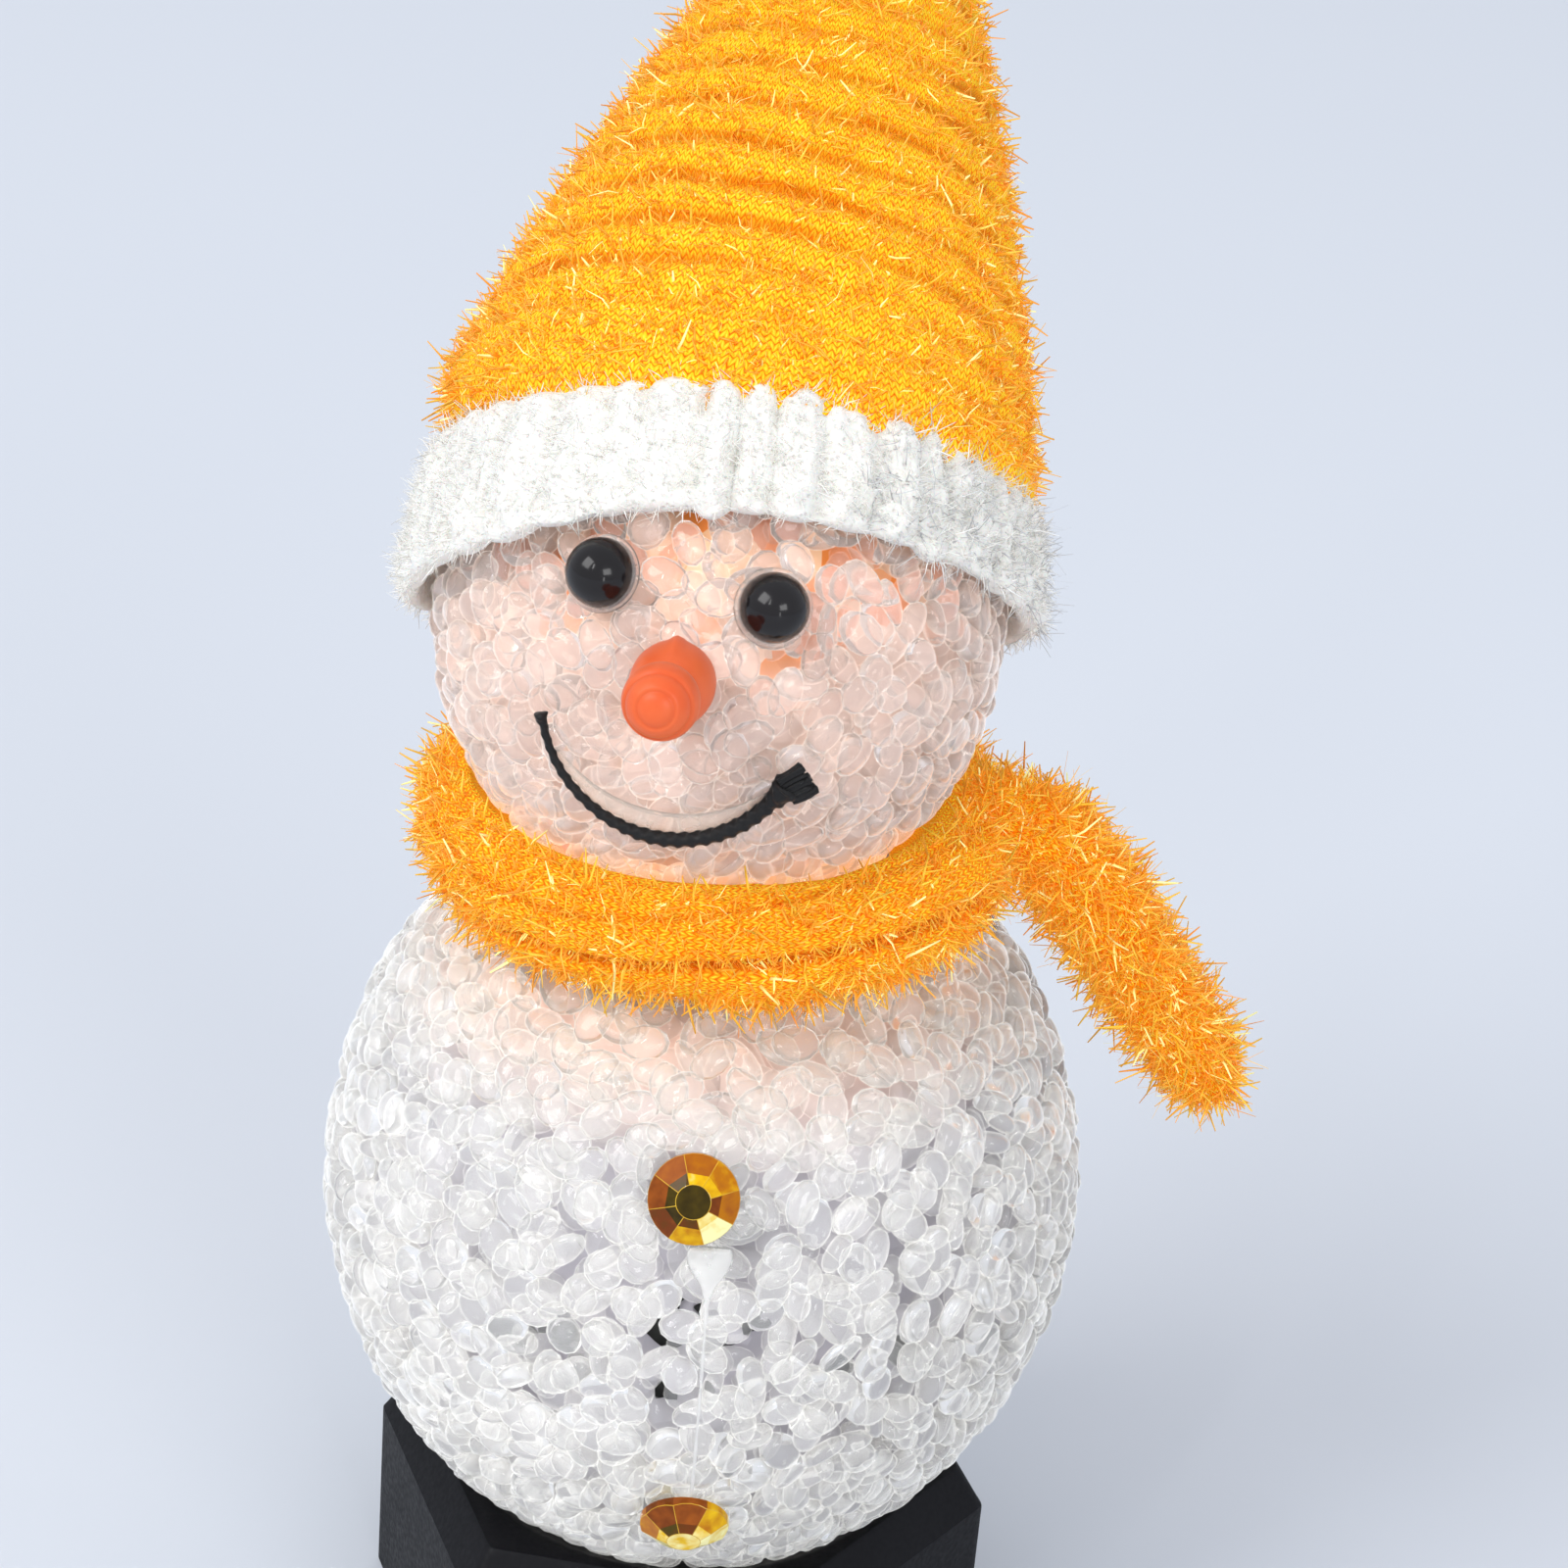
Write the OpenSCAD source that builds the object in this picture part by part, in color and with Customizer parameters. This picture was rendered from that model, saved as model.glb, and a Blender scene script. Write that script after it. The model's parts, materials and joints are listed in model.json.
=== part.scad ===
// Crystal snowman lamp: two hollow balls of fused clear granules on a black hexagonal
// battery base, with a knitted hat and scarf.
// Millimetres. The origin is the middle of the face that the base rests on, +Z is up,
// and the snowman looks along -Y.

/* [Body ball] */
// Width of the body ball
body_w = 90; // [76:1:108]
// Height of the body ball
body_h = 97.2; // [82:0.2:116]
// Thickness of the body ball's fused wall
body_wall = 5; // [3:0.5:7]
// Width of the opening under the body ball, around the lamp holder
body_opening_w = 25; // [23:0.5:30]
// Turn of the glued seam between the body's halves, in degrees
seam_turn = 3; // [-10:1:10]

/* [Head ball] */
// Width of the head ball
head_w = 64; // [54:1:76]
// Height of the head ball
head_h = 67; // [56:1:80]
// Thickness of the head ball's fused wall
head_wall = 4.5; // [3:0.5:6]
// Width of the flat on which head and body are joined
neck_w = 36; // [30:1:42]
// Width of the light hole through the neck
neck_hole_w = 22; // [12:1:26]
// Sideways shift of the head from the body's centre line
head_shift = -2.8; // [-4:0.2:4]

/* [Face] */
// Width of an eye
eye_w = 7.4; // [5:0.2:10]
// How far an eye stands out
eye_h = 4; // [2:0.2:5]
// Left eye's direction from the head's centre, turned sideways, in degrees
eye_left_turn = -25.5; // [-32:0.5:-20]
// Right eye's direction from the head's centre, turned sideways, in degrees
eye_right_turn = 12.9; // [8:0.5:20]
// Both eyes' mean height angle, in degrees
eye_rise = 29.5; // [22:0.5:34]
// Nose's direction, turned sideways, in degrees
nose_turn = -7; // [-12:0.5:0]
// Nose's height angle, in degrees
nose_rise = 15; // [8:0.5:20]
// Width of the nose where it meets the face
nose_w = 9; // [6:0.5:12]
// Length of the nose
nose_len = 14; // [8:0.5:20]
// Angular radius of the smile, in degrees
smile_r = 25; // [18:1:30]
// Thickness of the mouth cord
mouth_d = 1.2; // [0.8:0.1:2]

/* [Gem buttons] */
// Width of a gem
gem_w = 10; // [7:0.5:13]
// Height of a gem
gem_h = 3.2; // [2:0.2:4.4]
// Upper gem's height angle on the body, in degrees
gem_upper_rise = 29.6; // [20:0.2:34]
// Lower gem's height angle on the body, in degrees
gem_lower_rise = -26.6; // [-32:0.2:-20]

/* [Hat] */
// Width of the hat where it meets the cuff
hat_w = 67; // [60:1:74]
// Length of the hat from the cuff to its tip
hat_len = 90; // [70:1:110]
// Thickness of the hat's knit
hat_t = 2; // [1:0.2:3]
// Backward tilt of the hat, in degrees
hat_tilt = 36; // [20:1:40]
// Sideways lean of the hat, in degrees
hat_lean = 10; // [0:1:16]
// Height of the turned-up cuff
cuff_h = 13; // [8:0.5:18]
// Width of the cuff around the head
cuff_w = 72; // [70:0.5:80]

/* [Scarf] */
// Thickness of the rolled scarf
scarf_d = 14; // [10:0.5:16]
// Width of the scarf's loop, at the middle of the roll
scarf_loop_w = 54; // [50:1:60]
// Thickness of the scarf's free end
tail_d = 10.5; // [7:0.5:13]

/* [Base] */
// Width of the base across its corners
base_w = 76.2; // [70:0.2:90]
// Height of the base
base_h = 29.3; // [26:0.1:36]
// Height of the bevel around the top
bevel_h = 5.2; // [3:0.1:7]
// How far the bevel draws the corners in
bevel_in = 3.3; // [2:0.1:5]
// Wall of the base's housing
base_wall = 2; // [1.6:0.1:3]
// Turn of the base, in degrees
base_turn = -7.5; // [-30:0.5:30]
// How deep the body ball sits in the base
seat_depth = 10.9; // [8:0.1:12]

/* [Battery compartment] */
// Width of a button cell
cell_w = 11.6; // [11.6:0.1:12.5]
// Thickness of a button cell
cell_t = 5.4; // [5:0.1:5.6]
// Thickness of the bottom plate
plate_t = 1.6; // [1.2:0.1:2]
// Thickness of the sliding battery door
door_t = 1.5; // [1.2:0.1:1.8]
// How far the battery door slides
door_travel = 12.4; // [8:0.2:12.4]

/* [Switch and lamp] */
// Travel of the switch knob
switch_travel = 3; // [2:0.5:4]
// Width of the lamp holder
holder_w = 20; // [16:0.5:21]
// Width of the light-emitting diode
led_w = 5; // [3:0.5:5]

/* [Fits] */
// Gap at glued curved faces
glue_gap = 0.1; // [0.05:0.05:0.3]
// Gap between soft pieces and what they lie on
soft_gap = 0.3; // [0.2:0.1:0.6]
// Gap at sliding faces
slide_gap = 0.2; // [0.1:0.05:0.3]
// Gap at loose pieces inside
loose_gap = 0.2; // [0.1:0.05:0.4]

/* [Hidden] */

big = 400;
cut = 1;
round_fn = 120;
oval_steps = 24;

// Half sizes of both balls, and the heights that follow from how they are joined
body_a = body_w / 2;
body_c = body_h / 2;
head_a = head_w / 2;
head_c = head_h / 2;
neck_r = neck_w / 2;
body_z = base_h - seat_depth + body_c;
neck_z = body_z + body_c * sqrt(1 - pow(neck_r / body_a, 2));
head_z = neck_z + head_c * sqrt(1 - pow(neck_r / head_a, 2));
head_at = [head_shift, 0, head_z];

// Base housing
base_r = base_w / 2;
wall_top = base_h - bevel_h;
inner_r = base_r - base_wall / cos(30);
dish_t = 1.8;
wire_hole_r = 3.2;

// Bottom plate, set above the rest face so that only the housing's rim touches the ground
door_z = 0.8;
plate_z = door_z + door_t + slide_gap;
plate_top = plate_z + plate_t;
door_l = 24;
door_w = 15.5;
pocket_y = 10;
spring_l = 2;
contact_t = 0.4;
cell_count = 3;
stack_l = cell_count * cell_t;
pocket_l = stack_l + spring_l + 2 * contact_t + 2 * loose_gap;
pocket_w = cell_w + 2 * loose_gap;
pocket_wall = 1;
cell_z = plate_z + cell_w / 2 + loose_gap;
pocket_top = cell_z + cell_w / 2 + loose_gap;
stack_x = -pocket_l / 2 + contact_t + spring_l + loose_gap;
rail_w = 1.4;
rail_lip = 1;
door_hold = 7.35;
rail_end = pocket_y - door_w / 2 + door_travel + door_hold;
lip_t = 0.5;
lip_z = door_z - slide_gap - lip_t;
grip_r = 0.5;
merge = 0.5;

// Screws through the bottom plate into the housing's bosses
screw_at = [[-30, 0], [15, 26], [15, -26]];
screw_r = 1.1;
screw_fit = 0.02;
screw_l = 9;
screw_head_r = 2.5;
screw_head_t = 1.2;
screw_slot = 0.6;
boss_r = 3;
boss_h = 16;

// Switch, on the inner side of the bottom plate in front of the battery pocket
switch_at = [0, -16];
switch_l = 9;
switch_w = 4.4;
switch_h = 4;
knob_l = 2.4;
knob_w = 1.6;
knob_z = 1.2;
knob_flange_t = 0.8;

// Lamp holder, standing in the middle of the seat
holder_r = holder_w / 2;
holder_wall = 1.6;
holder_top = body_z - body_c + 10;
holder_cap = 1.2;
board_t = 1.2;
board_z = holder_top - holder_cap - 4;
ledge = 1.2;
board_r = holder_r - holder_wall - loose_gap;
led_r = led_w / 2;
led_h = 8.6;
chip_r = 2;

// Wires
wire_r = 0.5;
wire_sides = 8;
wire_lane_z = (pocket_top + pocket_wall + body_z - body_c - dish_t) / 2;
board_under = board_z - 0.1;
red_route = [
    [11.6, 10, 9], [12.4, 9.6, 10], [12.6, 8.4, 13], [11.6, 6.4, 16], [9, 4.4, 16.9], [6, 2.8, 16.3],
    [3.8, 1.9, 15.8], [2.5, 1.1, 15.9], [1.7, 0.6, 17], [1.5, 0.4, 19], [1.5, 0.4, board_under]
];
black_route = [
    [-11.6, 10, 9], [-12.4, 9.4, 10], [-13, 6, 11], [-12.4, -2, 11], [-9, -9, 10.6],
    [-4.4, -13.4, 10], [-3, -15.2, 9.5], [-3, -16, 8.6]
];
white_route = [
    [3, -16, 8.6], [3, -15.6, 10], [2.8, -13.5, 12], [2, -9, 14.4], [0.2, -4, wire_lane_z],
    [-1.2, -1.2, wire_lane_z + 0.4], [-1.5, -0.4, 17.5], [-1.5, -0.4, 19], [-1.5, -0.4, board_under]
];

// Smile, an arc over the head in turn and height angles
smile_turn = -7;
smile_rise = 5;
smile_from = -81;
smile_to = 66;
smile_steps = 24;
mouth_lift = mouth_d / 2 + 0.05;

// Scarf, and the route of its free end from the loop outwards and down
scarf_r = scarf_d / 2;
scarf_at = [head_shift / 2, 0, neck_z + 2.4];
tail_route = [[0, 0, 3.5], [6, 0, 1], [11, 0, -4.5], [16, 0, -11.5], [21.5, 0, -19],
    [26, 0, -25.5], [28.5, 0, -31]];
tail_size = [0.8, 1, 1.08, 1.08, 1, 0.92, 0.8];
tail_root = scarf_at + [scarf_loop_w / 2 + 4.5, 0, 0];
tail_sides = 12;

// Hat, on an axis through the head
hat_start = 15;
hat_curve = 1.25;
hat_steps = 10;
cuff_start = 3;
cuff_lean = 2;
cuff_taper = 2;

// ---- Shapes shared by several pieces ----

// Half outline of an upright oval ball
function oval(a, c) =
    [for (i = [0:oval_steps]) let (t = -90 + 180 * i / oval_steps) [a * cos(t), c * sin(t)]];

module oval_ball(a, c) {
    rotate_extrude($fn = round_fn) polygon(oval(a, c));
}

module body_ball(grow) {
    translate([0, 0, body_z]) oval_ball(body_a + grow, body_c + grow);
}

module head_ball(grow) {
    translate(head_at) oval_ball(head_a + grow, head_c + grow);
}

// Slope of an oval ball's skin, and the point on it, in the direction given by a turn and a rise
function slope_angle(a, c, rise) = atan2(sin(rise) / (c * c), cos(rise) / (a * a));
function on_oval(a, c, turn, rise) =
    let (far = 1 / sqrt(pow(cos(rise) / a, 2) + pow(sin(rise) / c, 2)))
    far * [sin(turn) * cos(rise), -cos(turn) * cos(rise), sin(rise)];

// Stands children on an oval ball with their +Z outwards
module stand_on(a, c, turn, rise) {
    translate(on_oval(a, c, turn, rise))
        rotate([0, 0, turn]) rotate([90 - slope_angle(a, c, rise), 0, 0]) children();
}

module in_base() {
    rotate([0, 0, base_turn]) children();
}

function unit(v) = v / norm(v);
function tangent(p, i) = unit(p[min(i + 1, len(p) - 1)] - p[max(i - 1, 0)]);

// Round tube through the points p; r is its radius at each point, and side is a direction
// that the route never runs along
module tube(p, r, sides, side) {
    n = len(p);
    ring = [for (i = [0:n - 1])
        let (t = tangent(p, i), u = unit(cross(side, t)), v = cross(t, u))
        for (k = [0:sides - 1]) p[i] + r[i] * (cos(360 * k / sides) * u + sin(360 * k / sides) * v)];
    walls = [for (i = [0:n - 2]) for (k = [0:sides - 1])
        [i * sides + k, i * sides + (k + 1) % sides,
         (i + 1) * sides + (k + 1) % sides, (i + 1) * sides + k]];
    ends = [[for (k = [0:sides - 1]) sides - 1 - k], [for (k = [0:sides - 1]) (n - 1) * sides + k]];
    polyhedron(points = ring, faces = concat(walls, ends), convexity = 6);
}

module wire(p, tint) {
    color(tint) in_base() tube(p, [for (q = p) wire_r], wire_sides, [1, 0, 0]);
}

// ---- Base ----

module hex(r, h) {
    cylinder(r = r, h = h, $fn = 6);
}

module base_outer() {
    hex(base_r, wall_top);
    translate([0, 0, wall_top]) cylinder(r1 = base_r, r2 = base_r - bevel_in, h = bevel_h, $fn = 6);
}

module base_housing() {
    color([0.03, 0.03, 0.035]) difference() {
        in_base() union() {
            difference() {
                base_outer();
                translate([0, 0, -cut]) hex(inner_r, wall_top + cut);
            }
            intersection() {
                translate([0, 0, plate_top]) hex(inner_r + 0.5, base_h);
                union() {
                    translate([0, 0, wall_top - base_wall]) base_lid_block();
                    base_bosses();
                }
            }
            base_dish();
        }
        body_ball(glue_gap);
        in_base() translate([0, 0, -cut]) cylinder(r = wire_hole_r, h = big, $fn = round_fn);
        in_base() screw_holes(boss_h, screw_r + screw_fit, plate_top - cut);
    }
}

module base_lid_block() {
    hex(inner_r + 0.5, base_wall);
}

// Bowl that the body ball sits in
module base_dish() {
    intersection() {
        hex(inner_r + 0.5, wall_top);
        rotate([0, 0, -base_turn]) body_ball(glue_gap + dish_t);
    }
}

module base_bosses() {
    for (p = screw_at) translate([p[0], p[1], 0]) cylinder(r = boss_r, h = wall_top, $fn = round_fn);
}

module screw_holes(h, r, z) {
    for (p = screw_at) translate([p[0], p[1], z]) cylinder(r = r, h = h, $fn = round_fn);
}

module base_bottom() {
    color([0.04, 0.04, 0.045]) in_base() difference() {
        union() {
            translate([0, 0, plate_z]) hex(inner_r - loose_gap, plate_t);
            translate([-pocket_l / 2 - pocket_wall, pocket_y - pocket_w / 2 - pocket_wall, plate_z])
                cube([pocket_l + 2 * pocket_wall, pocket_w + 2 * pocket_wall,
                    pocket_top + pocket_wall - plate_z]);
            door_rails();
        }
        translate([-pocket_l / 2, pocket_y - pocket_w / 2, plate_z - cut])
            cube([pocket_l, pocket_w, pocket_top - plate_z + cut]);
        translate([switch_at[0] - switch_slot_l() / 2, switch_at[1] - knob_w / 2 - slide_gap, -cut])
            cube([switch_slot_l(), knob_w + 2 * slide_gap, big]);
        screw_holes(big, screw_r + loose_gap, -cut);
        wire_notch(1);
        wire_notch(-1);
        rotate([0, 0, -base_turn]) body_ball(glue_gap + dish_t + slide_gap);
    }
}

function switch_slot_l() = switch_travel + knob_l + 2 * slide_gap;

// Slot in the pocket's end wall where a wire leaves
module wire_notch(end) {
    translate([end * (pocket_l + pocket_wall) / 2 - cut, pocket_y - 1, cell_z])
        cube([2 * cut, 2, pocket_top - cell_z - cut]);
}

// Two L-shaped rails and a stop that hold the battery door
module door_rails() {
    front = pocket_y - door_w / 2;
    for (s = [-1, 1]) {
        outer = s * (door_l / 2 + slide_gap + rail_w / 2);
        translate([outer - rail_w / 2, front, lip_z])
            cube([rail_w, rail_end - front, plate_z + merge - lip_z]);
        translate([outer - rail_w / 2 - (s > 0 ? rail_lip : 0), front, lip_z])
            cube([rail_w + rail_lip, rail_end - front, lip_t]);
    }
    translate([-door_l / 2, front - slide_gap - rail_w, door_z])
        cube([door_l, rail_w, plate_z + merge - door_z]);
}

module battery_door() {
    grip_n = 5;
    color([0.05, 0.05, 0.055]) in_base() difference() {
        translate([-door_l / 2, pocket_y - door_w / 2, door_z]) cube([door_l, door_w, door_t]);
        for (i = [0:grip_n - 1])
            translate([-6, pocket_y + 2 * (i - grip_n / 2 + 0.5), door_z])
                rotate([0, 90, 0]) cylinder(r = grip_r, h = 12, $fn = 24);
    }
}

module housing_screws() {
    color([0.72, 0.72, 0.74]) in_base() for (p = screw_at) translate([p[0], p[1], 0]) difference() {
        union() {
            translate([0, 0, plate_z - screw_head_t])
                cylinder(r = screw_head_r, h = screw_head_t, $fn = round_fn);
            translate([0, 0, plate_z]) cylinder(r = screw_r, h = screw_l, $fn = round_fn);
        }
        for (a = [0, 90]) rotate([0, 0, a])
            translate([-1.5, -screw_slot / 2, plate_z - screw_head_t - cut])
                cube([3, screw_slot, cut + 0.7]);
    }
}

module button_cell(i) {
    rim = 0.8;
    color([0.78, 0.78, 0.8]) in_base()
        translate([stack_x + (i - 1) * cell_t, pocket_y, cell_z]) rotate([0, 90, 0]) {
            cylinder(r = cell_w / 2 - rim, h = cell_t / 4, $fn = round_fn);
            translate([0, 0, cell_t / 4]) cylinder(r = cell_w / 2, h = cell_t * 3 / 4, $fn = round_fn);
        }
}

module contact_spring() {
    turns = 3;
    steps = 16;
    r0 = 3.4;
    r1 = 2;
    spring_wire = 0.25;
    from = -pocket_l / 2 + contact_t + loose_gap / 2 + spring_wire;
    to = stack_x - spring_wire - 0.05;
    n = turns * steps;
    color([0.8, 0.8, 0.82]) in_base() tube(
        [for (i = [0:n]) let (f = i / n, r = r0 + (r1 - r0) * f)
            [from + (to - from) * f, pocket_y + r * cos(360 * i / steps), cell_z + r * sin(360 * i / steps)]],
        [for (i = [0:n]) spring_wire], 6, [1, 0, 0]);
}

module contact_plates() {
    plate_w = 9;
    inset = loose_gap / 2;
    color([0.75, 0.72, 0.6]) in_base() for (end = [0, 1])
        translate([-pocket_l / 2 + inset + end * (pocket_l - contact_t - 2 * inset),
                   pocket_y - plate_w / 2, cell_z - plate_w / 2])
            cube([contact_t, plate_w, plate_w]);
}

module switch_body() {
    color([0.15, 0.15, 0.16]) in_base() translate([switch_at[0], switch_at[1], plate_top]) difference() {
        translate([-switch_l / 2, -switch_w / 2, 0]) cube([switch_l, switch_w, switch_h]);
        translate([-switch_slot_l() / 2 - 0.8, -switch_w / 2 + 0.8, -cut])
            cube([switch_slot_l() + 1.6, switch_w - 1.6, cut + knob_flange_t + 2 * slide_gap]);
    }
}

// Shown at the off end of its travel
module switch_knob() {
    color([0.9, 0.9, 0.9]) in_base()
        translate([switch_at[0] - switch_travel / 2, switch_at[1], 0]) {
            translate([-knob_l / 2, -knob_w / 2, knob_z]) cube([knob_l, knob_w, plate_top + slide_gap - knob_z]);
            translate([-knob_l / 2 - 0.6, -switch_w / 2 + 0.8 + slide_gap, plate_top + slide_gap])
                cube([knob_l + 1.2, switch_w - 1.6 - 2 * slide_gap, knob_flange_t]);
        }
}

// ---- Lamp inside the body ball ----

module led_holder() {
    color([0.03, 0.03, 0.035]) difference() {
        intersection() {
            cylinder(r = holder_r, h = holder_top, $fn = round_fn);
            body_ball(glue_gap);
        }
        translate([0, 0, board_z]) cylinder(r = board_r + loose_gap,
            h = holder_top - holder_cap - board_z, $fn = round_fn);
        cylinder(r = board_r - ledge, h = board_z + cut, $fn = round_fn);
        cylinder(r = led_r + 0.6 + loose_gap, h = holder_top + cut, $fn = round_fn);
    }
}

module circuit_board() {
    color([0.1, 0.35, 0.15]) translate([0, 0, board_z]) cylinder(r = board_r, h = board_t, $fn = round_fn);
}

module driver_chip() {
    color([0.02, 0.02, 0.02]) translate([board_r - chip_r - 0.6, 0, board_z + board_t]) intersection() {
        cylinder(r = chip_r, h = 1, $fn = 36);
        translate([0, 0, -2]) sphere(r = 3, $fn = 36);
    }
}

module led_lamp() {
    color([0.95, 0.95, 1]) translate([0, 0, board_z + board_t]) {
        cylinder(r = led_r + 0.5, h = 1, $fn = 48);
        cylinder(r = led_r, h = led_h - led_r, $fn = 48);
        translate([0, 0, led_h - led_r]) sphere(r = led_r, $fn = 48);
    }
}

// ---- Balls ----

module body_shell() {
    difference() {
        body_ball(0);
        body_ball(-body_wall);
        translate([-big / 2, -big / 2, neck_z]) cube(big);
        cylinder(r = body_opening_w / 2, h = body_z, $fn = round_fn);
        translate([0, 0, body_z]) cylinder(r = neck_hole_w / 2, h = big, $fn = round_fn);
    }
}

module half_space(side) {
    translate([side > 0 ? 0 : -big, -big / 2, 0]) cube([big, big, big]);
}

module body_shell_left() {
    color([0.9, 0.92, 0.95]) intersection() {
        body_shell();
        rotate([0, 0, seam_turn]) half_space(-1);
    }
}

module body_shell_right() {
    color([0.92, 0.94, 0.97]) intersection() {
        body_shell();
        rotate([0, 0, seam_turn]) half_space(1);
    }
}

module head_shell() {
    difference() {
        head_ball(0);
        head_ball(-head_wall);
        translate([-big / 2, -big / 2, neck_z - big]) cube(big);
        translate([head_shift / 2, 0, neck_z - cut]) cylinder(r = neck_hole_w / 2, h = head_c, $fn = round_fn);
    }
}

module head_shell_front() {
    color([0.97, 0.88, 0.85]) intersection() {
        head_shell();
        rotate([0, 0, -90]) half_space(1);
    }
}

module head_shell_back() {
    color([0.97, 0.9, 0.87]) intersection() {
        head_shell();
        rotate([0, 0, -90]) half_space(-1);
    }
}

// ---- Face ----

// Dome whose flat side is buried in the ball and then trimmed to it
module eye(turn, rise) {
    buried = 1;
    color([0.01, 0.01, 0.01]) difference() {
        translate(head_at) stand_on(head_a, head_c, turn, rise)
            rotate_extrude($fn = 48) polygon(concat([[0, -buried], [eye_w / 2, -buried]],
                [for (t = [0:10:90]) [eye_w / 2 * cos(t), eye_h * sin(t)]]));
        head_ball(0);
    }
}

module eye_left() {
    eye(eye_left_turn, eye_rise + 1);
}

module eye_right() {
    eye(eye_right_turn, eye_rise - 1);
}

module nose() {
    buried = 1.5;
    tip_r = nose_w * 0.39;
    color([0.95, 0.35, 0.2]) difference() {
        translate(head_at) stand_on(head_a, head_c, nose_turn, nose_rise)
            rotate_extrude($fn = 48) polygon(concat([[0, -buried], [nose_w / 2, -buried], [nose_w / 2, 2]],
                [for (t = [0:15:90]) [tip_r * cos(t), nose_len - tip_r + tip_r * sin(t)]]));
        head_ball(0);
    }
}

module mouth_cord() {
    route = [for (i = [0:smile_steps])
        let (t = smile_from + (smile_to - smile_from) * i / smile_steps)
        on_oval(head_a + mouth_lift, head_c + mouth_lift,
            smile_turn + smile_r * sin(t), smile_rise - smile_r * cos(t))];
    color([0.02, 0.02, 0.02]) translate(head_at)
        tube(route, [for (q = route) mouth_d / 2], 8, [0, 1, 0]);
}

// ---- Gem buttons ----

// Cut stone: ten sides, a bevel and a flat table, trimmed to the ball behind it
module gem(turn, rise) {
    sides = 10;
    girdle = 0.8;
    table = 0.55;
    color([0.85, 0.6, 0.1]) difference() {
        translate([0, 0, body_z]) stand_on(body_a, body_c, turn, rise) {
            translate([0, 0, -cut]) cylinder(d = gem_w, h = cut + girdle, $fn = sides);
            translate([0, 0, girdle])
                cylinder(d1 = gem_w, d2 = gem_w * table, h = gem_h - girdle, $fn = sides);
        }
        body_ball(0);
    }
}

module gem_upper() {
    gem(0, gem_upper_rise);
}

module gem_lower() {
    gem(2.4, gem_lower_rise);
}

// ---- Hat and scarf ----

module on_hat_axis(lean) {
    translate(head_at) rotate([0, lean, 0]) rotate([-hat_tilt, 0, 0]) children();
}

// Hat radius at u, from 0 at the cuff to 1 at the tip
function hat_r(u) = hat_w / 2 * (1 - pow(u, hat_curve));
function hat_wall(drop) =
    [for (i = [0:hat_steps]) let (u = i / hat_steps)
        [max(hat_r(u) - drop, 0), hat_start + u * (hat_len - 2 * drop)]];

module hat() {
    outer = hat_wall(0);
    inner = hat_wall(hat_t);
    color([1, 0.55, 0.05]) difference() {
        on_hat_axis(hat_lean) difference() {
            rotate_extrude($fn = round_fn) polygon(concat([[0, hat_start]], outer));
            rotate_extrude($fn = round_fn) polygon(concat([[0, hat_start - cut],
                [hat_w / 2 - hat_t, hat_start - cut]], [for (q = inner) if (q[0] > 0) q], [[0, inner[hat_steps][1]]]));
        }
        cuff_outer(soft_gap);
        head_ball(soft_gap);
    }
}

module cuff_outer(grow) {
    on_hat_axis(cuff_lean) translate([0, 0, cuff_start - grow])
        cylinder(r1 = cuff_w / 2 + grow, r2 = cuff_w / 2 - cuff_taper + grow, h = cuff_h + 2 * grow,
            $fn = round_fn);
}

module hat_cuff() {
    color([0.97, 0.97, 0.97]) difference() {
        cuff_outer(0);
        head_ball(soft_gap);
        scarf_roll(soft_gap);
    }
}

module scarf_roll(grow) {
    translate(scarf_at) rotate_extrude($fn = round_fn)
        translate([scarf_loop_w / 2, 0]) circle(r = scarf_r + grow, $fn = 48);
}

module scarf_ring() {
    color([1, 0.5, 0.03]) difference() {
        scarf_roll(0);
        head_ball(soft_gap);
        body_ball(soft_gap);
    }
}

module scarf_tail() {
    color([1, 0.55, 0.05]) difference() {
        tube([for (q = tail_route) tail_root + q], [for (k = tail_size) k * tail_d / 2], tail_sides, [0, 1, 0]);
        scarf_roll(soft_gap);
    }
}

base_housing();
base_bottom();
battery_door();
housing_screws();
button_cell(1);  // button_cell_1
button_cell(2);  // button_cell_2
button_cell(3);  // button_cell_3
contact_spring();
contact_plates();
switch_body();
switch_knob();
led_holder();
circuit_board();
driver_chip();
led_lamp();
wire(red_route, [0.7, 0.05, 0.05]);  // wire_red
wire(black_route, [0.03, 0.03, 0.03]);  // wire_black
wire(white_route, [0.85, 0.85, 0.85]);  // wire_white
body_shell_left();
body_shell_right();
head_shell_front();
head_shell_back();
eye_left();
eye_right();
nose();
mouth_cord();
gem_upper();
gem_lower();
hat();
hat_cuff();
scarf_ring();
scarf_tail();
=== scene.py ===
import json
from math import atan2, cos, degrees, pi, radians, sin, sqrt, tan

import bmesh
import bpy
import numpy as np
from mathutils import Matrix, Vector, noise


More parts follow.
